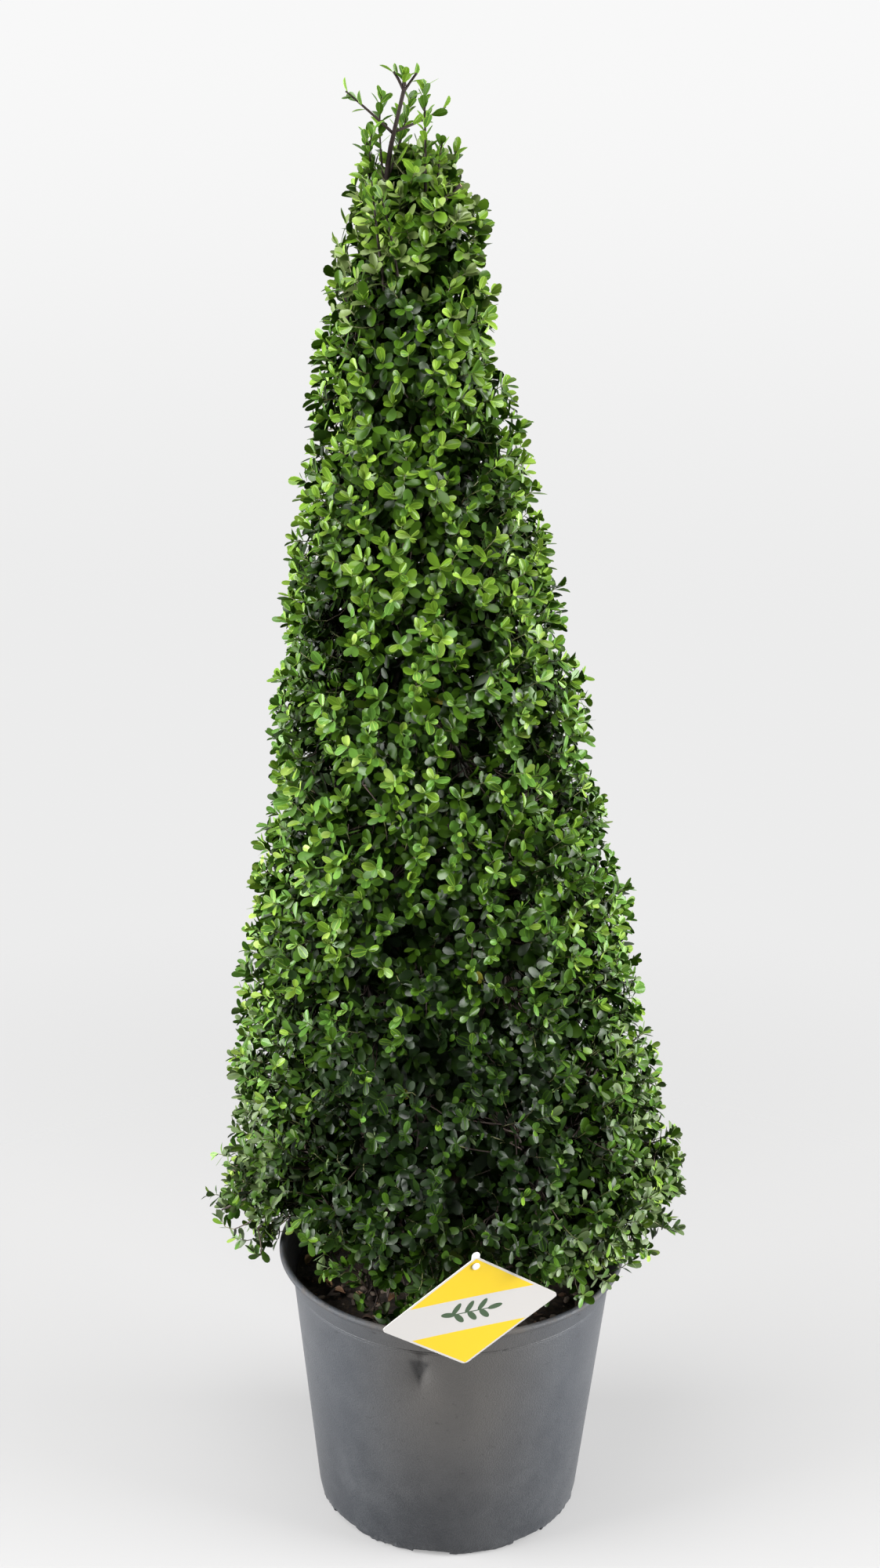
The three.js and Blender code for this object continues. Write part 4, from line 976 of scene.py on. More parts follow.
def spray_layer(count, depths, upward, stray):
    """Sprays spread evenly over the crown: their sunken tips, their headings and how full it is there."""
    places, outward = crown_lattice(count, chance)
    clumps = np.array([noise.noise(Vector(place * CLUMP_SCALE)) for place in places])
    lumps = np.array([noise.noise(Vector(place * LUMP_SCALE + LUMP_SHIFT)) for place in places])
    sunk = chance.uniform(*depths, count) + CLUMP_DEPTH * np.clip(-clumps, 0, 1) - LUMP_HEIGHT * lumps
    sunk = np.minimum(sunk, crown_radius(places[:, 2]) * DEEPEST_SHARE)
    return places - outward * sunk[:, None], turned_up(outward, upward, stray), clumps


face_tips, face_headings, face_clumps = spray_layer(*FACE_LAYER)
full = face_clumps > HOLLOW + HOLLOW_IN_SHADE * front_shade(face_tips)
low_places = np.repeat(low_tips, [count for *_, count in LOW_SPRAYS], axis=0)
low_out = unit(low_places - np.array([0, CROWN_BACK, LOW_SPRAYS_FROM_Z]))
low_sprays = low_places - low_out * LOW_SPRAY_BACK
low_stray = np.clip(chance.normal(size=low_places.shape), -LOW_SPRAY_LIMIT, LOW_SPRAY_LIMIT)
low_stray = LOW_SPRAY_SPREAD * low_stray
low_sprays += low_out * low_stray[:, :1] + np.cross(low_out, (0, 0, 1)) * low_stray[:, 1:2]
low_sprays[:, 2] += low_stray[:, 2]
low_headings = turned_up(low_out, *LOW_SPRAY_TURN)
between_tips, between_headings, _ = spray_layer(*BETWEEN_LAYER)
inner_tips, inner_headings, _ = spray_layer(*INNER_LAYER)
heart_turn = np.arange(HEART_SPRAYS) * GOLDEN_ANGLE
heart_reach = HEART_REACH * np.sqrt((np.arange(HEART_SPRAYS) + 0.5) / HEART_SPRAYS)
heart_tips = np.stack([np.cos(heart_turn) * heart_reach, np.sin(heart_turn) * heart_reach], -1)
heart_tips = np.column_stack([heart_tips, chance.uniform(*HEART_HEIGHTS, HEART_SPRAYS)])
heart_tips[:, 1] += CROWN_BACK
heart_headings = turned_up(heart_tips - trunk_at(HEART_HEIGHTS[0]), 0, HEART_STRAY)
top_z = np.linspace(TOP_FROM, CROWN_TOP - TOP_INSET[1], TOP_SPRAYS)
top_turn = np.arange(TOP_SPRAYS) * GOLDEN_ANGLE
top_reach = (crown_radius(top_z) - TOP_INSET[0]) * np.sqrt(chance.uniform(0.3, 1.0, TOP_SPRAYS))
top_out = np.stack([np.cos(top_turn), np.sin(top_turn), np.zeros(TOP_SPRAYS)], -1)
top_tips = top_out * top_reach[:, None] + np.array([0, CROWN_BACK, 0])
top_tips += np.stack([crown_middle(top_z), np.zeros(TOP_SPRAYS), top_z], -1)
top_headings = turned_up(top_out, *TOP_SPRAY_TURN)
layers = (
    (face_tips[full], face_headings[full], 0),
    (low_sprays, low_headings, 0),
    (top_tips, top_headings, 0),
    (between_tips, between_headings, 1),
    (inner_tips, inner_headings, 2),
    (heart_tips, heart_headings, 2),
)
spray_tips = np.concatenate([tips for tips, _, _ in layers])
spray_headings = unit(np.concatenate([headings for _, headings, _ in layers]))
spray_layers = np.repeat([layer for _, _, layer in layers], [len(tips) for tips, _, _ in layers])
spray_layers = np.where((spray_layers == 1) & (spray_tips[:, 2] > TOP_FROM), 0, spray_layers)
kept = clear_of_pot(spray_tips) & clear_of_label(spray_tips) & clear_of_leader(spray_tips)
kept &= ~in_window(spray_tips) | (chance.random(len(spray_tips)) < WINDOW_SHARE)
kept &= (spray_layers < 2) | (spray_tips[:, 2] < TOP_FROM)
spray_tips, spray_headings, spray_layers = spray_tips[kept], spray_headings[kept], spray_layers[kept]
in_gap = in_window(spray_tips)
spray_mass = mass_of(spray_tips)

# Vigour says how young a spray's leaves are, and by place it also carries painted light and shade into
# their
# tints: lighter at the sides, the waist's left, the foot, the top and the low right, darker to the right,
# at the outer edges, the front of the waist, the chest and the low front. It also changes in patches. Each
# amount below is how much is gained or lost, mostly with the two values between which that comes on.
VIGOUR_MEAN = 0.47
VIGOUR_PATCHES = 0.5
PATCH_SCALE = 9.0
PATCH_SHIFT = np.array([0, 7.7, 0])
VIGOUR_STRAY = 0.12
GAIN_DOWNWARD = 0.1
PAINTED_SHADE_RIGHTWARD = 0.1
MIDDLE_Z = 0.9
PAINTED_LOW_RIGHT_LIGHT = 0.16
LOW_RIGHT = (0.04, 0.12)
LOW_RIGHT_HEIGHTS = (0.66, 0.56)
PAINTED_SIDE_LIGHT = (0.12, 0.3, 0.5)
PAINTED_EDGE_SHADE = (0.13, 0.72, 0.92)
WAIST = (0.82, 0.2)
PAINTED_WAIST_LEFT_LIGHT = 0.14
WAIST_LEFT_X = -0.06
PAINTED_WAIST_FRONT_SHADE = (0.18, 0.5, 0.0)
CHEST = (1.2, 0.16)
PAINTED_CHEST_SHADE = 0.2
PAINTED_FOOT_LIGHT = (0.14, 0.5, 0.38)
PAINTED_TOP_LIGHT = (0.2, 1.38, 1.48)
SHADE_LOSS = 0.8
BETWEEN_VIGOUR_AND_SHADE = (0.3, 0.1)
INNER_VIGOUR_AND_SHADE = -0.2
SPRAY_OPENNESS = (0.74, 1.1)
LAYER_SIZES = np.array([1.0, 1.05, 1.4])
TOP_LEAF_GROWTH = (0.12, 1.2, 1.5)
LOW_LEAF_LOSS = (0.1, 0.85, 0.55)


def gain(values, amount, start, end):
    """An amount that comes on as values go from a start to an end."""
    return amount * ramp(values, start, end)


def hump(z, middle, width):
    """A soft rise from 0 to 1 and back round a height."""
    return np.exp(-(((z - middle) / width) ** 2))


count = len(spray_tips)
x, y, z = spray_tips.T
spray_turn = chance.random(count) * 2 * np.pi
spray_openness = chance.uniform(*SPRAY_OPENNESS, count)
spray_size = LAYER_SIZES[spray_layers] * (1 + gain(z, *TOP_LEAF_GROWTH))
spray_size *= 1 - gain(z, *LOW_LEAF_LOSS) * (spray_layers < 2)
patches = [noise.noise(Vector(tip * PATCH_SCALE + PATCH_SHIFT)) for tip in spray_tips]
aside = np.abs(x - crown_middle(z))
facing = aside / np.maximum(np.hypot(aside, y - CROWN_BACK), 0.02)
waist = hump(z, *WAIST)
vigour_and_light = VIGOUR_MEAN + VIGOUR_PATCHES * np.array(patches)
vigour_and_light += GAIN_DOWNWARD * (MIDDLE_Z - z) - PAINTED_SHADE_RIGHTWARD * x
vigour_and_light += PAINTED_LOW_RIGHT_LIGHT * ramp(x, *LOW_RIGHT) * ramp(z, *LOW_RIGHT_HEIGHTS)
vigour_and_light += gain(facing, *PAINTED_SIDE_LIGHT) - gain(facing, *PAINTED_EDGE_SHADE)
vigour_and_light += PAINTED_WAIST_LEFT_LIGHT * waist * (x < WAIST_LEFT_X) - PAINTED_CHEST_SHADE * hump(z, *CHEST)
vigour_and_light -= waist * gain(facing, *PAINTED_WAIST_FRONT_SHADE)
vigour_and_light += gain(z, *PAINTED_FOOT_LIGHT) + gain(z, *PAINTED_TOP_LIGHT) - SHADE_LOSS * front_shade(spray_tips)
vigour_and_light += VIGOUR_STRAY * chance.normal(size=count)
# Sprays deeper in are older and get darker tints, which also paint in the shade inside the crown.
between_vigour_and_shade = BETWEEN_VIGOUR_AND_SHADE[0] * vigour_and_light - BETWEEN_VIGOUR_AND_SHADE[1]
vigour_and_light = np.choose(spray_layers, [vigour_and_light, between_vigour_and_shade, np.full(count, INNER_VIGOUR_AND_SHADE)])

STEM_LENGTH = 0.046
STEM_SHARE = 0.55
FARTHEST_BACK = 0.6
OTHER_MASS_AWAY = 0.15
TWIG_STEPS = 6
TWIG_SIDES = 3
TWIG_ROOT_RADIUS = 0.0011
TWIG_TIP_RADIUS = 0.0005
GREEN_STEPS = 2
TWIG_TINTS = (("twig_brown", (0.052, 0.033, 0.024), 0.7), ("twig_green", (0.12, 0.125, 0.045), 0.6))
apart = np.linalg.norm(spray_tips[:, None] - limb_tips[None], axis=2)
apart += np.where(spray_mass[:, None] == limb_mass[None], 0, OTHER_MASS_AWAY)
twig_roots = limb_paths[apart.argmin(1), chance.integers(LIMB_STEPS // 2, LIMB_STEPS, count)]
twig_span = np.linalg.norm(spray_tips - twig_roots, axis=1)
twig_lead = np.minimum(STEM_SHARE * twig_span, STEM_LENGTH)[:, None]
twig_bends = spray_tips - spray_headings * twig_lead
twig_paths = curved(twig_roots, twig_bends, spray_tips, TWIG_STEPS)
twig_radii = tapered(np.full(count, TWIG_ROOT_RADIUS), np.full(count, TWIG_TIP_RADIUS), TWIG_STEPS)

LEAF_LENGTH = 0.0155
LEAF_SIZE_RANGE = (0.78, 1.18)
LEAF_WIDTH_SHARE = (0.47, 0.58)
TURN_STRAY = 0.4
SPREAD_STRAY = 0.2
ROLL_STRAY = 0.28
FIRST_NODES = np.array([0, 1, 3])
LEAF_GLOSS = 0.2
LEAF_TINTS = (
    ("leaf_old", (0.013, 0.034, 0.003), 0.34),
    ("leaf_deep", (0.036, 0.084, 0.005), 0.31),
    ("leaf_blue", (0.053, 0.12, 0.015), 0.28),
    ("leaf_middle", (0.094, 0.182, 0.014), 0.28),
    ("leaf_bright", (0.16, 0.27, 0.028), 0.3),
    ("leaf_new", (0.25, 0.36, 0.068), 0.33),
    ("leaf_yellowed", (0.4, 0.38, 0.05), 0.5),
    ("leaf_dusty", (0.09, 0.134, 0.052), 0.38),
    ("leaf_olive", (0.12, 0.167, 0.05), 0.34),
    ("leaf_cool", (0.068, 0.16, 0.022), 0.28),
    ("leaf_fresh", (0.112, 0.232, 0.04), 0.3),
    ("leaf_shaded", (0.007, 0.019, 0.003), 0.4),
)
OLD, DEEP, BLUE, MIDDLE, BRIGHT, NEW, YELLOWED, DUSTY, OLIVE, COOL, FRESH, SHADED = range(len(LEAF_TINTS))
RIB_TINTS = np.array([DEEP, BLUE, BRIGHT, BRIGHT, NEW, NEW, YELLOWED, OLIVE, OLIVE, FRESH, NEW, DEEP])
YOUTH_STEPS = (0.2, 0.42, 0.5, 0.72, 0.92)
YOUTH_STRAY = 0.12
YELLOWED_SHARE = 0.0005
OLIVE_SHARE = 0.5
OLIVE_FROM_Z = TOP_FROM - 0.06
DUSTY_SHARE = (0.6, 0.68, 0.48)
COOL_SHARE = (0.6, 1.15, 0.95)
SHADED_HEIGHTS = (0.4, 0.5)
BLADE_SHAPES = ((0.16, 0.1, 0.0), (0.07, -0.06, 0.1), (0.24, 0.02, -0.08))
BLADE_SHAPES += ((-0.07, 0.15, 0.08), (0.12, -0.1, -0.1))
leaf_sets = []


def down_twig(back):
    """Points on the twigs a way back from their tips, and the twigs' headings there."""
    share = 1 - np.minimum(back / (2 * twig_lead), FARTHEST_BACK)
    leaving, coming = twig_bends - twig_roots, spray_tips - twig_bends
    places = twig_roots + share * (2 - share) * leaving + share**2 * coming
    return places, unit((1 - share) * leaving + share * coming)


def leaf_tints(youth, roots):
    """The number of each leaf's tint, by its youth, its place and chance."""
    z = roots[:, 2]
    tint = np.searchsorted(YOUTH_STEPS, youth + YOUTH_STRAY * chance.normal(size=count))
    tint = np.where(chance.random(count) < YELLOWED_SHARE, YELLOWED, tint)
    high = z > OLIVE_FROM_Z
    dull = chance.random(count) < np.where(high, OLIVE_SHARE, gain(z, *DUSTY_SHARE))
    tint = np.where(dull & (tint > DEEP), np.where(high, OLIVE, DUSTY), tint)
    cool = chance.random(count) < gain(z, *COOL_SHARE)
    tint = np.where(cool & (tint == MIDDLE), COOL, np.where(cool & (tint == BRIGHT), FRESH, tint))
    # Low at the front, some old and deep leaves are swapped for darker tints: painted shade.
    shaded = chance.random(count) < front_shade(roots) * ramp(z, *SHADED_HEIGHTS)
    return np.where(shaded & (tint == OLD), SHADED, np.where(shaded & (tint == DEEP), OLD, tint))


def add_leaves(node, roots, headings, spread, size, youth, ribbed):
    """Grows one leaf on each spray, keeps those that fit the clipped outline, and gives each its tint."""
    helper = np.where(np.abs(headings[:, 2:]) > 0.9, np.array([[1.0, 0, 0]]), np.array([[0, 0, 1.0]]))
    first = unit(np.cross(headings, helper))
    second = np.cross(headings, first)
    turn = (node * GOLDEN_ANGLE + spray_turn + TURN_STRAY * chance.normal(size=count))[:, None]
    away = first * np.cos(turn) + second * np.sin(turn)
    spread = (spread * spray_openness + SPREAD_STRAY * chance.normal(size=count))[:, None]
    along = headings * np.cos(spread) + away * np.sin(spread)
    front = headings * np.sin(spread) - away * np.cos(spread)
    roll = (ROLL_STRAY * chance.normal(size=count))[:, None]
    front = front * np.cos(roll) + np.cross(along, front) * np.sin(roll)
    length = LEAF_LENGTH * size * spray_size * chance.uniform(*LEAF_SIZE_RANGE, count)
    width = length * chance.uniform(*LEAF_WIDTH_SHARE, count)
    tint = leaf_tints(youth, roots)
    shape = chance.integers(0, len(BLADE_SHAPES), count)
    middles = roots + along * length[:, None] / 2
    tips = roots + along * length[:, None]
    fits = (FIRST_NODES[spray_layers] <= node) & clear_of_pot(tips) & (in_gap | ~in_window(tips))
    fits &= clear_of_label(tips) & clear_of_label(middles)
    fits &= clear_of_leader(tips) & clear_of_leader(middles)
    fits &= (depth_in_crown(tips) > -OUTLINE_PROUD) | (tips[:, 2] < WIDEST_Z)
    grown = {"mass": spray_mass, "root": roots, "along": along, "front": front, "length": length}
    grown |= {"width": width, "tint": tint, "shape": shape, "ribbed": ribbed & (spray_layers == 0)}
    leaf_sets.append({key: value[fits] for key, value in grown.items()})


# Each node is a place down the twig for one leaf. The first ones make the rosette at its tip. Spread, size
# and youth are each a start and a change, at the tip from node to node and behind it over the whole spray.
SPRAY_NODES = (0.0, 0.0007, 0.0014, 0.0034, 0.0056, 0.0085, 0.012, 0.017, 0.023, 0.03)
TIP_NODES = 3
RIBBED_NODES = 4
VIGOUR_SHARE = 0.55
TIP_SPREAD = (0.6, 0.16)
TIP_SIZE = (0.72, 0.12)
TIP_YOUTH = 0.42
NODE_SPREAD = (0.92, 0.45)
NODE_SIZE = (1.0, 0.1)
NODE_YOUTH = (0.34, -0.42)
TWIG_LEAF_STEP = 3
TWIG_LEAF = (1.1, 1.08, 0.1)
for node, back in enumerate(SPRAY_NODES):
    share = node / len(SPRAY_NODES)
    spread = NODE_SPREAD[0] + NODE_SPREAD[1] * share
    size = NODE_SIZE[0] + NODE_SIZE[1] * math.sin(3 * share)
    youth = NODE_YOUTH[0] + NODE_YOUTH[1] * share
    if node < TIP_NODES:
        spread = TIP_SPREAD[0] + TIP_SPREAD[1] * node
        size = TIP_SIZE[0] + TIP_SIZE[1] * node
        youth = TIP_YOUTH
    roots, headings = down_twig(back)
    add_leaves(node, roots, headings, spread, size, VIGOUR_SHARE * vigour_and_light + youth, node < RIBBED_NODES)
twig_heading = unit(twig_paths[:, TWIG_LEAF_STEP + 1] - twig_paths[:, TWIG_LEAF_STEP - 1])
spread, size, vigour_share = TWIG_LEAF
roots = twig_paths[:, TWIG_LEAF_STEP]
add_leaves(len(SPRAY_NODES), roots, twig_heading, spread, size, vigour_share * vigour_and_light, False)
leaves = {key: np.concatenate([grown[key] for grown in leaf_sets]) for key in leaf_sets[0]}
leaf_materials = [plain_material(*tint, LEAF_GLOSS) for tint in LEAF_TINTS]
twig_materials = [plain_material(*tint) for tint in TWIG_TINTS]
ribbed_blades = [leaf_pattern(FINE_STATIONS, True, *shape) for shape in BLADE_SHAPES]
simple_blades = [leaf_pattern(BLADE_STATIONS, False, *shape) for shape in BLADE_SHAPES]


def leaf_piece(name, leaves):
    """Joins many leaves into one piece."""
    points, faces, tints = [], [], []
    start = 0
    for ribbed, blades in ((True, ribbed_blades), (False, simple_blades)):
        for shape, blade in enumerate(blades):
            own = (leaves["ribbed"] == ribbed) & (leaves["shape"] == shape)
            if not own.any():
                continue
            places = [leaves[key][own] for key in ("root", "along", "front", "length", "width")]
            placed = place_leaves(blade, *places)
            first = start + np.arange(len(placed))[:, None, None] * placed.shape[1]
            plain = leaves["tint"][own][:, None]
            points.append(placed.reshape(-1, 3))
            faces.append((blade[1][None] + first).reshape(-1, 4))
            tints.append(np.where(blade[2], RIB_TINTS[plain], plain).ravel())
            start += placed.shape[0] * placed.shape[1]
    return joined_mesh(name, np.concatenate(points), faces, leaf_materials, tints)


for number, mass in enumerate(mass_names):
    own = leaves["mass"] == number
    leafy = leaf_piece(f"leaves_{mass}", {key: value[own] for key, value in leaves.items()})
    own = spray_mass == number
    twig_tube, twig_faces = tubes(twig_paths[own], twig_radii[own], TWIG_SIDES)
    along_twig = np.tile(np.repeat(np.arange(TWIG_STEPS - 1), TWIG_SIDES), own.sum())
    green = along_twig >= TWIG_STEPS - 1 - GREEN_STEPS
    twig_tint = [green.astype(int), np.tile([0, 1], own.sum())]
    twiggy = joined_mesh(f"twigs_{mass}", twig_tube, twig_faces, twig_materials, twig_tint)
    for piece in (leafy, twiggy):
        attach(piece, "root")
        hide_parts(f"foliage_{mass}")

# Top: thin shoots that have outgrown the shears round the bare leader, some leafy and some bare.
# Each is a tapering stem from inside the crown with leaves set round it by the golden angle.
# One older stem was cut through and ends in a pale face.
SHOOT_STEPS = 12
SHOOT_SIDES = 7
SHOOT_SEED = 11
SHOOT_LEAF_SIZE = (0.82, 1.12)
SHOOT_SPREAD = (1.05, 0.5, 0.15)
CUT_RADIUS = 0.002
LEADER_TIP = tuple(trunk_at(trunk_levels[-1]))
# Each row is a shoot's start, bend and tip, its radius at both ends, its leaves and the share that is bare.
SHOOTS = (
    (tuple(trunk_at(1.553)), (-0.101, 0.017, 1.575), (-0.124, 0.012, 1.593), 0.0016, 0.0009, 5, 0.5),
    (tuple(trunk_at(1.555)), (-0.046, 0.034, 1.566), (-0.025, 0.043, 1.579), 0.0016, 0.0008, 6, 0.25),
    (LEADER_TIP, (-0.067, 0.02, 1.603), (-0.066, 0.02, 1.606), 0.0024, 0.0015, 6, 0.2),
    (tuple(trunk_at(1.592)), (-0.061, 0.021, 1.602), (-0.054, 0.022, 1.611), 0.0014, 0.0012, 2, 0.4),
    (tuple(trunk_at(1.594)), (-0.072, 0.019, 1.606), (-0.077, 0.018, 1.612), 0.0015, 0.0014, 2, 0.5),
    (tuple(trunk_at(1.5)), (-0.094, 0.033, 1.556), (-0.089, 0.034, 1.589), 0.0013, 0.0006, 15, 0.3),
    (tuple(trunk_at(1.48)), (-0.106, 0.014, 1.528), (-0.097, 0.01, 1.556), 0.0013, 0.0006, 13, 0.35),
    (tuple(trunk_at(1.5)), (-0.066, 0.044, 1.556), (-0.06, 0.042, 1.588), 0.0013, 0.0006, 15, 0.3),
    ((-0.044, -0.002, 1.49), (-0.044, -0.005, 1.56), (-0.047, -0.006, 1.599), 0.0016, 0.0007, 20, 0.25),
    ((-0.034, 0.004, 1.48), (-0.032, 0.0, 1.526), (-0.028, -0.002, 1.546), 0.0015, 0.0007, 11, 0.3),
    ((-0.03, 0.03, 1.47), (-0.02, 0.036, 1.515), (-0.014, 0.04, 1.537), 0.0013, 0.0006, 13, 0.3),
    ((-0.095, 0.045, 1.48), (-0.108, 0.052, 1.53), (-0.104, 0.056, 1.552), 0.0013, 0.0006, 13, 0.3),
    ((-0.07, 0.06, 1.49), (-0.07, 0.066, 1.545), (-0.072, 0.07, 1.57), 0.0013, 0.0006, 14, 0.3),
    ((-0.083, -0.03, 1.405), (-0.091, -0.044, 1.46), (-0.096, -0.048, 1.512), 0.0019, 0.0008, 15, 0.35),
    ((-0.07, -0.038, 1.42), (-0.076, -0.052, 1.462), (-0.086, -0.057, 1.496), 0.0013, 0.0007, 13, 0.3),
    ((-0.05, -0.004, 1.45), (-0.036, -0.016, 1.487), (-0.009, -0.02, 1.507), 0.0026, 0.0021, 0, 1.0),
)
STEM_TINTS = (("stem_dark", (0.022, 0.015, 0.012), 0.7, 0.2), ("stem_cut", (0.3, 0.21, 0.13), 0.8, 0.2))
chance = np.random.default_rng(SHOOT_SEED)
starts, bends, ends, thick, thin = (np.array([shoot[part] for shoot in SHOOTS]) for part in range(5))
shoot_paths = curved(starts, bends, ends, SHOOT_STEPS)
shoot_tube, shoot_faces = tubes(shoot_paths, tapered(thick, thin, SHOOT_STEPS), SHOOT_SIDES)
shoot_tints = [np.zeros(len(shoot_faces[0])), np.repeat(thin > CUT_RADIUS, 2)]
stem_materials = [plain_material(*tint) for tint in STEM_TINTS]
shoot_stems = joined_mesh("shoot_stems", shoot_tube, shoot_faces, stem_materials, shoot_tints)
shoot_leaves = []
for number, (*_, leaf_count, bare) in enumerate(SHOOTS):
    for leaf in range(leaf_count):
        share = bare + (1 - bare) * (leaf + 0.5) / leaf_count
        place = share * (SHOOT_STEPS - 1)
        step = min(int(place), SHOOT_STEPS - 2)
        before, after = shoot_paths[number, step], shoot_paths[number, step + 1]
        heading = unit(after - before)
        side = unit(np.cross(heading, (0.0, 1.0, 0.0)))
        turn = leaf * GOLDEN_ANGLE + number
        away = side * math.cos(turn) + np.cross(heading, side) * math.sin(turn)
        spread = SHOOT_SPREAD[0] - SHOOT_SPREAD[1] * share + SHOOT_SPREAD[2] * chance.normal()
        along = heading * math.cos(spread) + away * math.sin(spread)
        front = heading * math.sin(spread) - away * math.cos(spread)
        length = LEAF_LENGTH * chance.uniform(*SHOOT_LEAF_SIZE)
        grown = {"root": before + (after - before) * (place - step), "along": along, "front": front}
        grown |= {"length": length, "width": length * chance.uniform(*LEAF_WIDTH_SHARE)}
        grown |= {"tint": chance.integers(DEEP, BRIGHT), "shape": chance.integers(0, len(BLADE_SHAPES))}
        shoot_leaves.append(grown | {"ribbed": True})
shoot_leaves = {key: np.array([leaf[key] for leaf in shoot_leaves]) for key in shoot_leaves[0]}
shoot_foliage = leaf_piece("shoot_leaves", shoot_leaves)
for piece, slot_name in ((shoot_stems, "bark"), (shoot_foliage, "foliage")):
    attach(piece, "root")
    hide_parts("shoot_left", "shoot_right", "shoot_leader_tuft")

# Label: a diamond of white plastic card, printed on its front and hung in front of the rim.
# A four-sided disc is drawn to size, its corners rounded, cut in strips, thickened, punched and bowed.
# The print is a plain leaf sprig between two yellow fields, with a white edge all round.
LABEL_SIZE = (0.205, 0.148)
LABEL_THICK = 0.001
LABEL_CORNER = 0.006
LABEL_STRIPS = 14
LABEL_BOW = 0.0015
LABEL_HOLE_RADIUS = 0.003
LABEL_HOLE_INSET = 0.012
LABEL_CRISP_ANGLE = 30
BARE_PRINT = (0.0, 0.5)
hole_y = LABEL_SIZE[1] / 2 - LABEL_HOLE_INSET
card = start_shape(bpy.ops.mesh.primitive_circle_add, vertices=4, radius=0.5, fill_type="NGON")
card.name = "printed_card"
bpy.ops.object.mode_set(mode="EDIT")
bpy.ops.mesh.select_all(action="SELECT")
bpy.ops.transform.resize(value=(*LABEL_SIZE, 1), center_override=(0, 0, 0))
bpy.ops.mesh.bevel(offset=LABEL_CORNER, segments=7, affect="VERTICES")
for strip in range(1, LABEL_STRIPS):
    bpy.ops.mesh.select_all(action="SELECT")
    across = LABEL_SIZE[0] * (strip / LABEL_STRIPS - 0.5)
    bpy.ops.mesh.bisect(plane_co=(across, 0, 0), plane_no=(1, 0, 0))
bpy.ops.object.mode_set(mode="OBJECT")
apply_modifier(card, "SOLIDIFY", thickness=LABEL_THICK, offset=0)
punch = start_shape(bpy.ops.mesh.primitive_cylinder_add, vertices=24, radius=LABEL_HOLE_RADIUS, depth=0.02)
punch.data.transform(Matrix.Translation((0, hole_y, 0)))
cut_away(card, punch)
points = points_of(card)
print_place = card.data.uv_layers.new(name="print")
for face in card.data.polygons:
    for loop in face.loop_indices:
        x, y, _ = points[card.data.loops[loop].vertex_index]
        printed = (x / LABEL_SIZE[0] + 0.5, y / LABEL_SIZE[1] + 0.5)
        print_place.data[loop].uv = printed if face.normal.z > 0.5 else BARE_PRINT
points[:, 2] += LABEL_THICK / 2 + LABEL_BOW * (2 * points[:, 0] / LABEL_SIZE[0]) ** 2
move_points(card, points)
label_place = Matrix((label_right, label_up, label_out)).transposed().to_4x4()
label_place.translation = label_centre
card.data.transform(label_place)
smooth_faces(card, LABEL_CRISP_ANGLE)
CARD_WHITE = (0.47, 0.455, 0.44)
CARD_YELLOW = (0.64, 0.44, 0.004)
CARD_GREEN = (0.035, 0.07, 0.03)
CARD_EDGE = 0.965
YELLOW_ABOVE = 0.02
YELLOW_BELOW = -0.024
PRINT_BLUR = 0.0003
SPRIG_STEM = ((0.0005, 0.0009), (0.028, 0.029))
SPRIG_LEAF = (0.0085, 0.0034)
# Each leaf of the sprig is its place in millimetres and its turn in degrees.
SPRIG_LEAVES = ((-26, 1, 168), (-17, 7, 60), (-13, -6, -50), (-2, 7, 62))
SPRIG_LEAVES += ((2, -6, -52), (13, 7, 58), (16, -6, -48), (28, 1, 8))
print_film, surface, place = new_material("card_print", "UV")
across = (place.part("X") - 0.5) * LABEL_SIZE[0]
along = (place.part("Y") - 0.5) * LABEL_SIZE[1]
to_edge = across.size() * (2 / LABEL_SIZE[0]) + along.size() * (2 / LABEL_SIZE[1])
inside = 1 - to_edge.over(CARD_EDGE - 0.004, CARD_EDGE)
above = along.over(YELLOW_ABOVE - PRINT_BLUR, YELLOW_ABOVE + PRINT_BLUR)
below = 1 - along.over(YELLOW_BELOW - PRINT_BLUR, YELLOW_BELOW + PRINT_BLUR)
sprig = (1 - along.size().over(*SPRIG_STEM[0])) * (1 - across.size().over(*SPRIG_STEM[1]))
for x, y, turn in SPRIG_LEAVES:
    cosine, sine = math.cos(math.radians(turn)), math.sin(math.radians(turn))
    from_x, from_y = across - x / 1000, along - y / 1000
    ahead = (from_x * cosine + from_y * sine) * (1 / SPRIG_LEAF[0])
    beside = (from_y * cosine - from_x * sine) * (1 / SPRIG_LEAF[1])
    sprig = sprig + (1 - (ahead * ahead + beside * beside).over(0.9, 1.05))
coloured = ((above + below) * inside).mix(CARD_WHITE, CARD_YELLOW)
sprig.over(0.3, 0.7).mix(coloured, CARD_GREEN).feed(surface, "Base Color")
(0.32 + 0.12 * place.noise(40.0)).feed(surface, "Roughness")
card.data.materials.append(print_film)
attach(card, "root")
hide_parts("label_card")

# Clip: a white moulded strap behind the card with a tab above it, hooked down over the pot's lip.
# Strap and hook are strips drawn out of one edge, thickened and softened at the edges.
# A pin with a flat button holds the card through its hole.
CLIP_WIDTH = 0.009
CLIP_THICK = 0.0015
CLIP_TAB = 0.0042
CLIP_HOOK_Y = -0.04379
CLIP_REACH = 0.024
CLIP_LEG = 0.013
CLIP_FOOT = -0.058
HOOK_BEND = 0.002
PIN_RADIUS = 0.0024
BUTTON_RADIUS = 0.0043
BUTTON_THICK = 0.0012
BUTTON_ROUND = 0.0005
CLIP_SOFTNESS = 0.0003
CLIP_CLEAR = 0.0003
CLIP_CRISP_ANGLE = 35


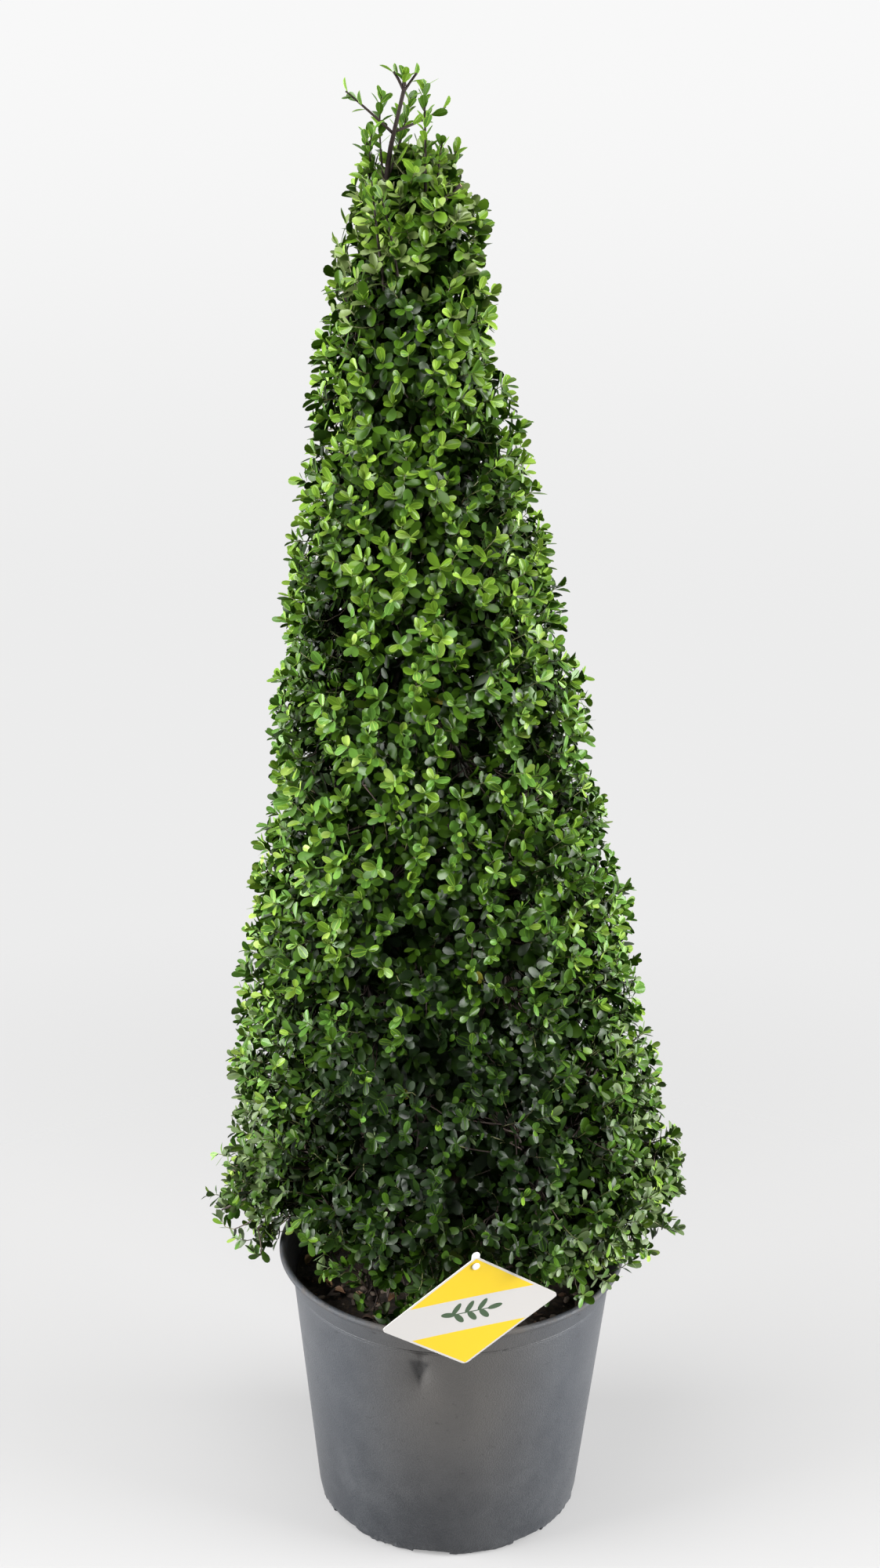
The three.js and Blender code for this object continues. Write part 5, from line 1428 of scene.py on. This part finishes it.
def drawn_strip(name, path):
    """A strip drawn along a path that gives its width, height and depth at each step."""
    strip = start_shape(bpy.ops.mesh.primitive_plane_add, size=1)
    strip.name = name
    bpy.ops.object.mode_set(mode="EDIT")
    bpy.ops.mesh.select_mode(type="VERT")
    bpy.ops.mesh.select_all(action="SELECT")
    bpy.ops.mesh.merge(type="CENTER")
    width, y, z = path[0]
    bpy.ops.transform.translate(value=(-width / 2, y, z))
    bpy.ops.mesh.extrude_vertices_move(TRANSFORM_OT_translate={"value": (width, 0, 0)})
    bpy.ops.mesh.select_all(action="SELECT")
    for next_width, next_y, next_z in path[1:]:
        bpy.ops.mesh.extrude_edges_move(TRANSFORM_OT_translate={"value": (0, next_y - y, next_z - z)})
        bpy.ops.transform.resize(value=(next_width / width, 1, 1), center_override=(0, next_y, next_z))
        width, y, z = next_width, next_y, next_z
    bpy.ops.object.mode_set(mode="OBJECT")
    return strip


strap_z = -CLIP_CLEAR - CLIP_THICK / 2
strap_top = LABEL_SIZE[1] / 2 + CLIP_TAB
tab_round = CLIP_WIDTH / 2
strap_path = []
for turn in np.linspace(0.2, math.pi / 2, 7):
    down = tab_round * (1 - math.cos(turn))
    strap_path.append((CLIP_WIDTH * math.sin(turn), strap_top - down, strap_z))
strap_path += [(CLIP_WIDTH, y, strap_z) for y in np.linspace(strap_top - 2 * tab_round, CLIP_FOOT, 9)]
strap = drawn_strip("strap", strap_path)
hook_y = CLIP_HOOK_Y + CLIP_THICK / 2
hook_z = -CLIP_REACH - CLIP_THICK / 2
hook_path = [(hook_y, strap_z), (hook_y, hook_z + HOOK_BEND)]
hook_path += [(hook_y - HOOK_BEND * 0.35, hook_z + HOOK_BEND * 0.35)]
hook_path += [(hook_y - HOOK_BEND, hook_z), (CLIP_HOOK_Y - CLIP_LEG, hook_z)]
hook = drawn_strip("hook", [(CLIP_WIDTH, y, z) for y, z in hook_path])
for strip in (strap, hook):
    apply_modifier(strip, "SOLIDIFY", thickness=CLIP_THICK, offset=0)
    apply_modifier(strip, "BEVEL", width=CLIP_SOFTNESS, segments=2, limit_method="ANGLE")
add_cylinder = bpy.ops.mesh.primitive_cylinder_add
pin_depth = LABEL_THICK + CLIP_THICK + 2 * CLIP_CLEAR
pin = start_shape(add_cylinder, vertices=28, radius=PIN_RADIUS, depth=pin_depth)
pin.data.transform(Matrix.Translation((0, hole_y, (LABEL_THICK - CLIP_THICK) / 2)))
button = start_shape(add_cylinder, vertices=36, radius=BUTTON_RADIUS, depth=BUTTON_THICK)
apply_modifier(button, "BEVEL", width=BUTTON_ROUND, segments=3, limit_method="ANGLE")
button.data.transform(Matrix.Translation((0, hole_y, LABEL_THICK + CLIP_CLEAR + BUTTON_THICK / 2)))
bpy.ops.object.select_all(action="DESELECT")
for piece in (strap, hook, pin, button):
    piece.select_set(True)
bpy.context.view_layer.objects.active = strap
bpy.ops.object.join()
clip = bpy.context.object
clip.name = "label_peg"
bpy.ops.object.mode_set(mode="EDIT")
bpy.ops.mesh.select_all(action="SELECT")
bpy.ops.mesh.normals_make_consistent(inside=False)
bpy.ops.object.mode_set(mode="OBJECT")
clip.data.transform(label_place)
smooth_faces(clip, CLIP_CRISP_ANGLE)
PEG_WHITE = (0.74, 0.74, 0.72)
PEG_GREY = (0.6, 0.6, 0.58)
peg_plastic, surface, place = new_material("peg_plastic")
place.noise(90.0).over(0.35, 0.75).mix(PEG_WHITE, PEG_GREY).feed(surface, "Base Color")
(0.4 + 0.15 * place.noise(220.0)).feed(surface, "Roughness")
clip.data.materials.append(peg_plastic)
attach(clip, "root")
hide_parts("label_clip")

# Studio: a pale paper floor that melts into a pale surround, and soft lamps at both sides and above.
# The surround shines on the plant from behind, as a lit backdrop does, and only weakly from the front.
# The camera stands in front, a little above the plant, and looks down on it.
FLOOR_RADIUS = 1.9
FLOOR_FADES_FROM = 0.45
FLOOR_GLOW = 0.375
FLOOR_GLOW_EDGE = 0.03
FLOOR_DOWN = 0.0005
FLOOR_GREY = (0.2, 0.198, 0.198, 1)
add_circle = bpy.ops.mesh.primitive_circle_add
studio_floor = start_shape(add_circle, vertices=96, radius=FLOOR_RADIUS, fill_type="NGON")
studio_floor.name = "studio_floor"
studio_floor.data.transform(Matrix.Translation((0, 0, -FLOOR_DOWN)))
paper, surface, place = new_material("studio_paper")
surface.inputs["Base Color"].default_value = FLOOR_GREY
surface.inputs["Roughness"].default_value = 0.9
surface.inputs["Emission Strength"].default_value = FLOOR_GLOW
reach = place.length()
reach.over(FOOT_RADIUS - FLOOR_GLOW_EDGE, FOOT_RADIUS).feed(surface, "Emission Color")
(1 - reach.over(FLOOR_FADES_FROM, FLOOR_RADIUS)).feed(surface, "Alpha")
studio_floor.data.materials.append(paper)

SURROUND_FRONT = 0.062
SURROUND_BEHIND = 0.75
SURROUND_BEHIND_FROM = (0.3, 0.6)
SURROUND_SEEN = 0.84
SURROUND_SEEN_ABOVE = 0.1
SURROUND_PALES_FROM = (-0.25, 0.03)
world = bpy.data.worlds.new("soft_surround")
world.use_nodes = True
tree = world.node_tree
way = Value(tree, tree.nodes.new("ShaderNodeTexCoord").outputs["Generated"])
seen = Value(tree, tree.nodes.new("ShaderNodeLightPath").outputs["Is Camera Ray"])
shining = SURROUND_FRONT + SURROUND_BEHIND * way.part("Y").over(*SURROUND_BEHIND_FROM)
pale = SURROUND_SEEN + SURROUND_SEEN_ABOVE * way.part("Z").over(*SURROUND_PALES_FROM)
(seen * pale + (1 - seen) * shining).feed(tree.nodes["Background"], "Strength")
tree.nodes["Background"].inputs["Color"].default_value = (1, 1, 1, 1)
bpy.context.scene.world = world
PLANT_MIDDLE = Vector((-0.03, 0, 0.85))
# Each lamp is its name, its place, its width and height, and its power in watts.
LAMPS = (
    ("left_lamp", (-2.7, -0.7, 1.15), (1.8, 2.5), 265),
    ("right_lamp", (2.8, -0.55, 1.1), (1.8, 2.5), 300),
    ("top_lamp", (-0.3, -0.6, 2.6), (1.2, 1.2), 40),
)
for name, spot, size, power in LAMPS:
    lamp = bpy.data.lights.new(name, "AREA")
    lamp.shape = "RECTANGLE"
    lamp.size, lamp.size_y = size
    lamp.energy = power
    holder = bpy.data.objects.new(name, lamp)
    holder.location = spot
    holder.rotation_euler = (PLANT_MIDDLE - Vector(spot)).to_track_quat("-Z", "Y").to_euler()
    bpy.context.scene.collection.objects.link(holder)

CAMERA_PLACE = (-0.021, -2.24, 1.62)
CAMERA_DOWN = math.radians(18.3)
CAMERA_ROLL = math.radians(0.83)
CAMERA_LENS = 50
CAMERA_SENSOR = 36
camera_data = bpy.data.cameras.new("camera")
camera_data.lens = CAMERA_LENS
camera_data.sensor_width = CAMERA_SENSOR
camera = bpy.data.objects.new("camera", camera_data)
camera.location = CAMERA_PLACE
look = Matrix.Rotation(math.pi / 2 - CAMERA_DOWN, 4, "X") @ Matrix.Rotation(CAMERA_ROLL, 4, "Z")
camera.rotation_euler = look.to_euler()
bpy.context.scene.collection.objects.link(camera)
bpy.context.scene.camera = camera
bpy.context.scene.view_settings.view_transform = "Standard"
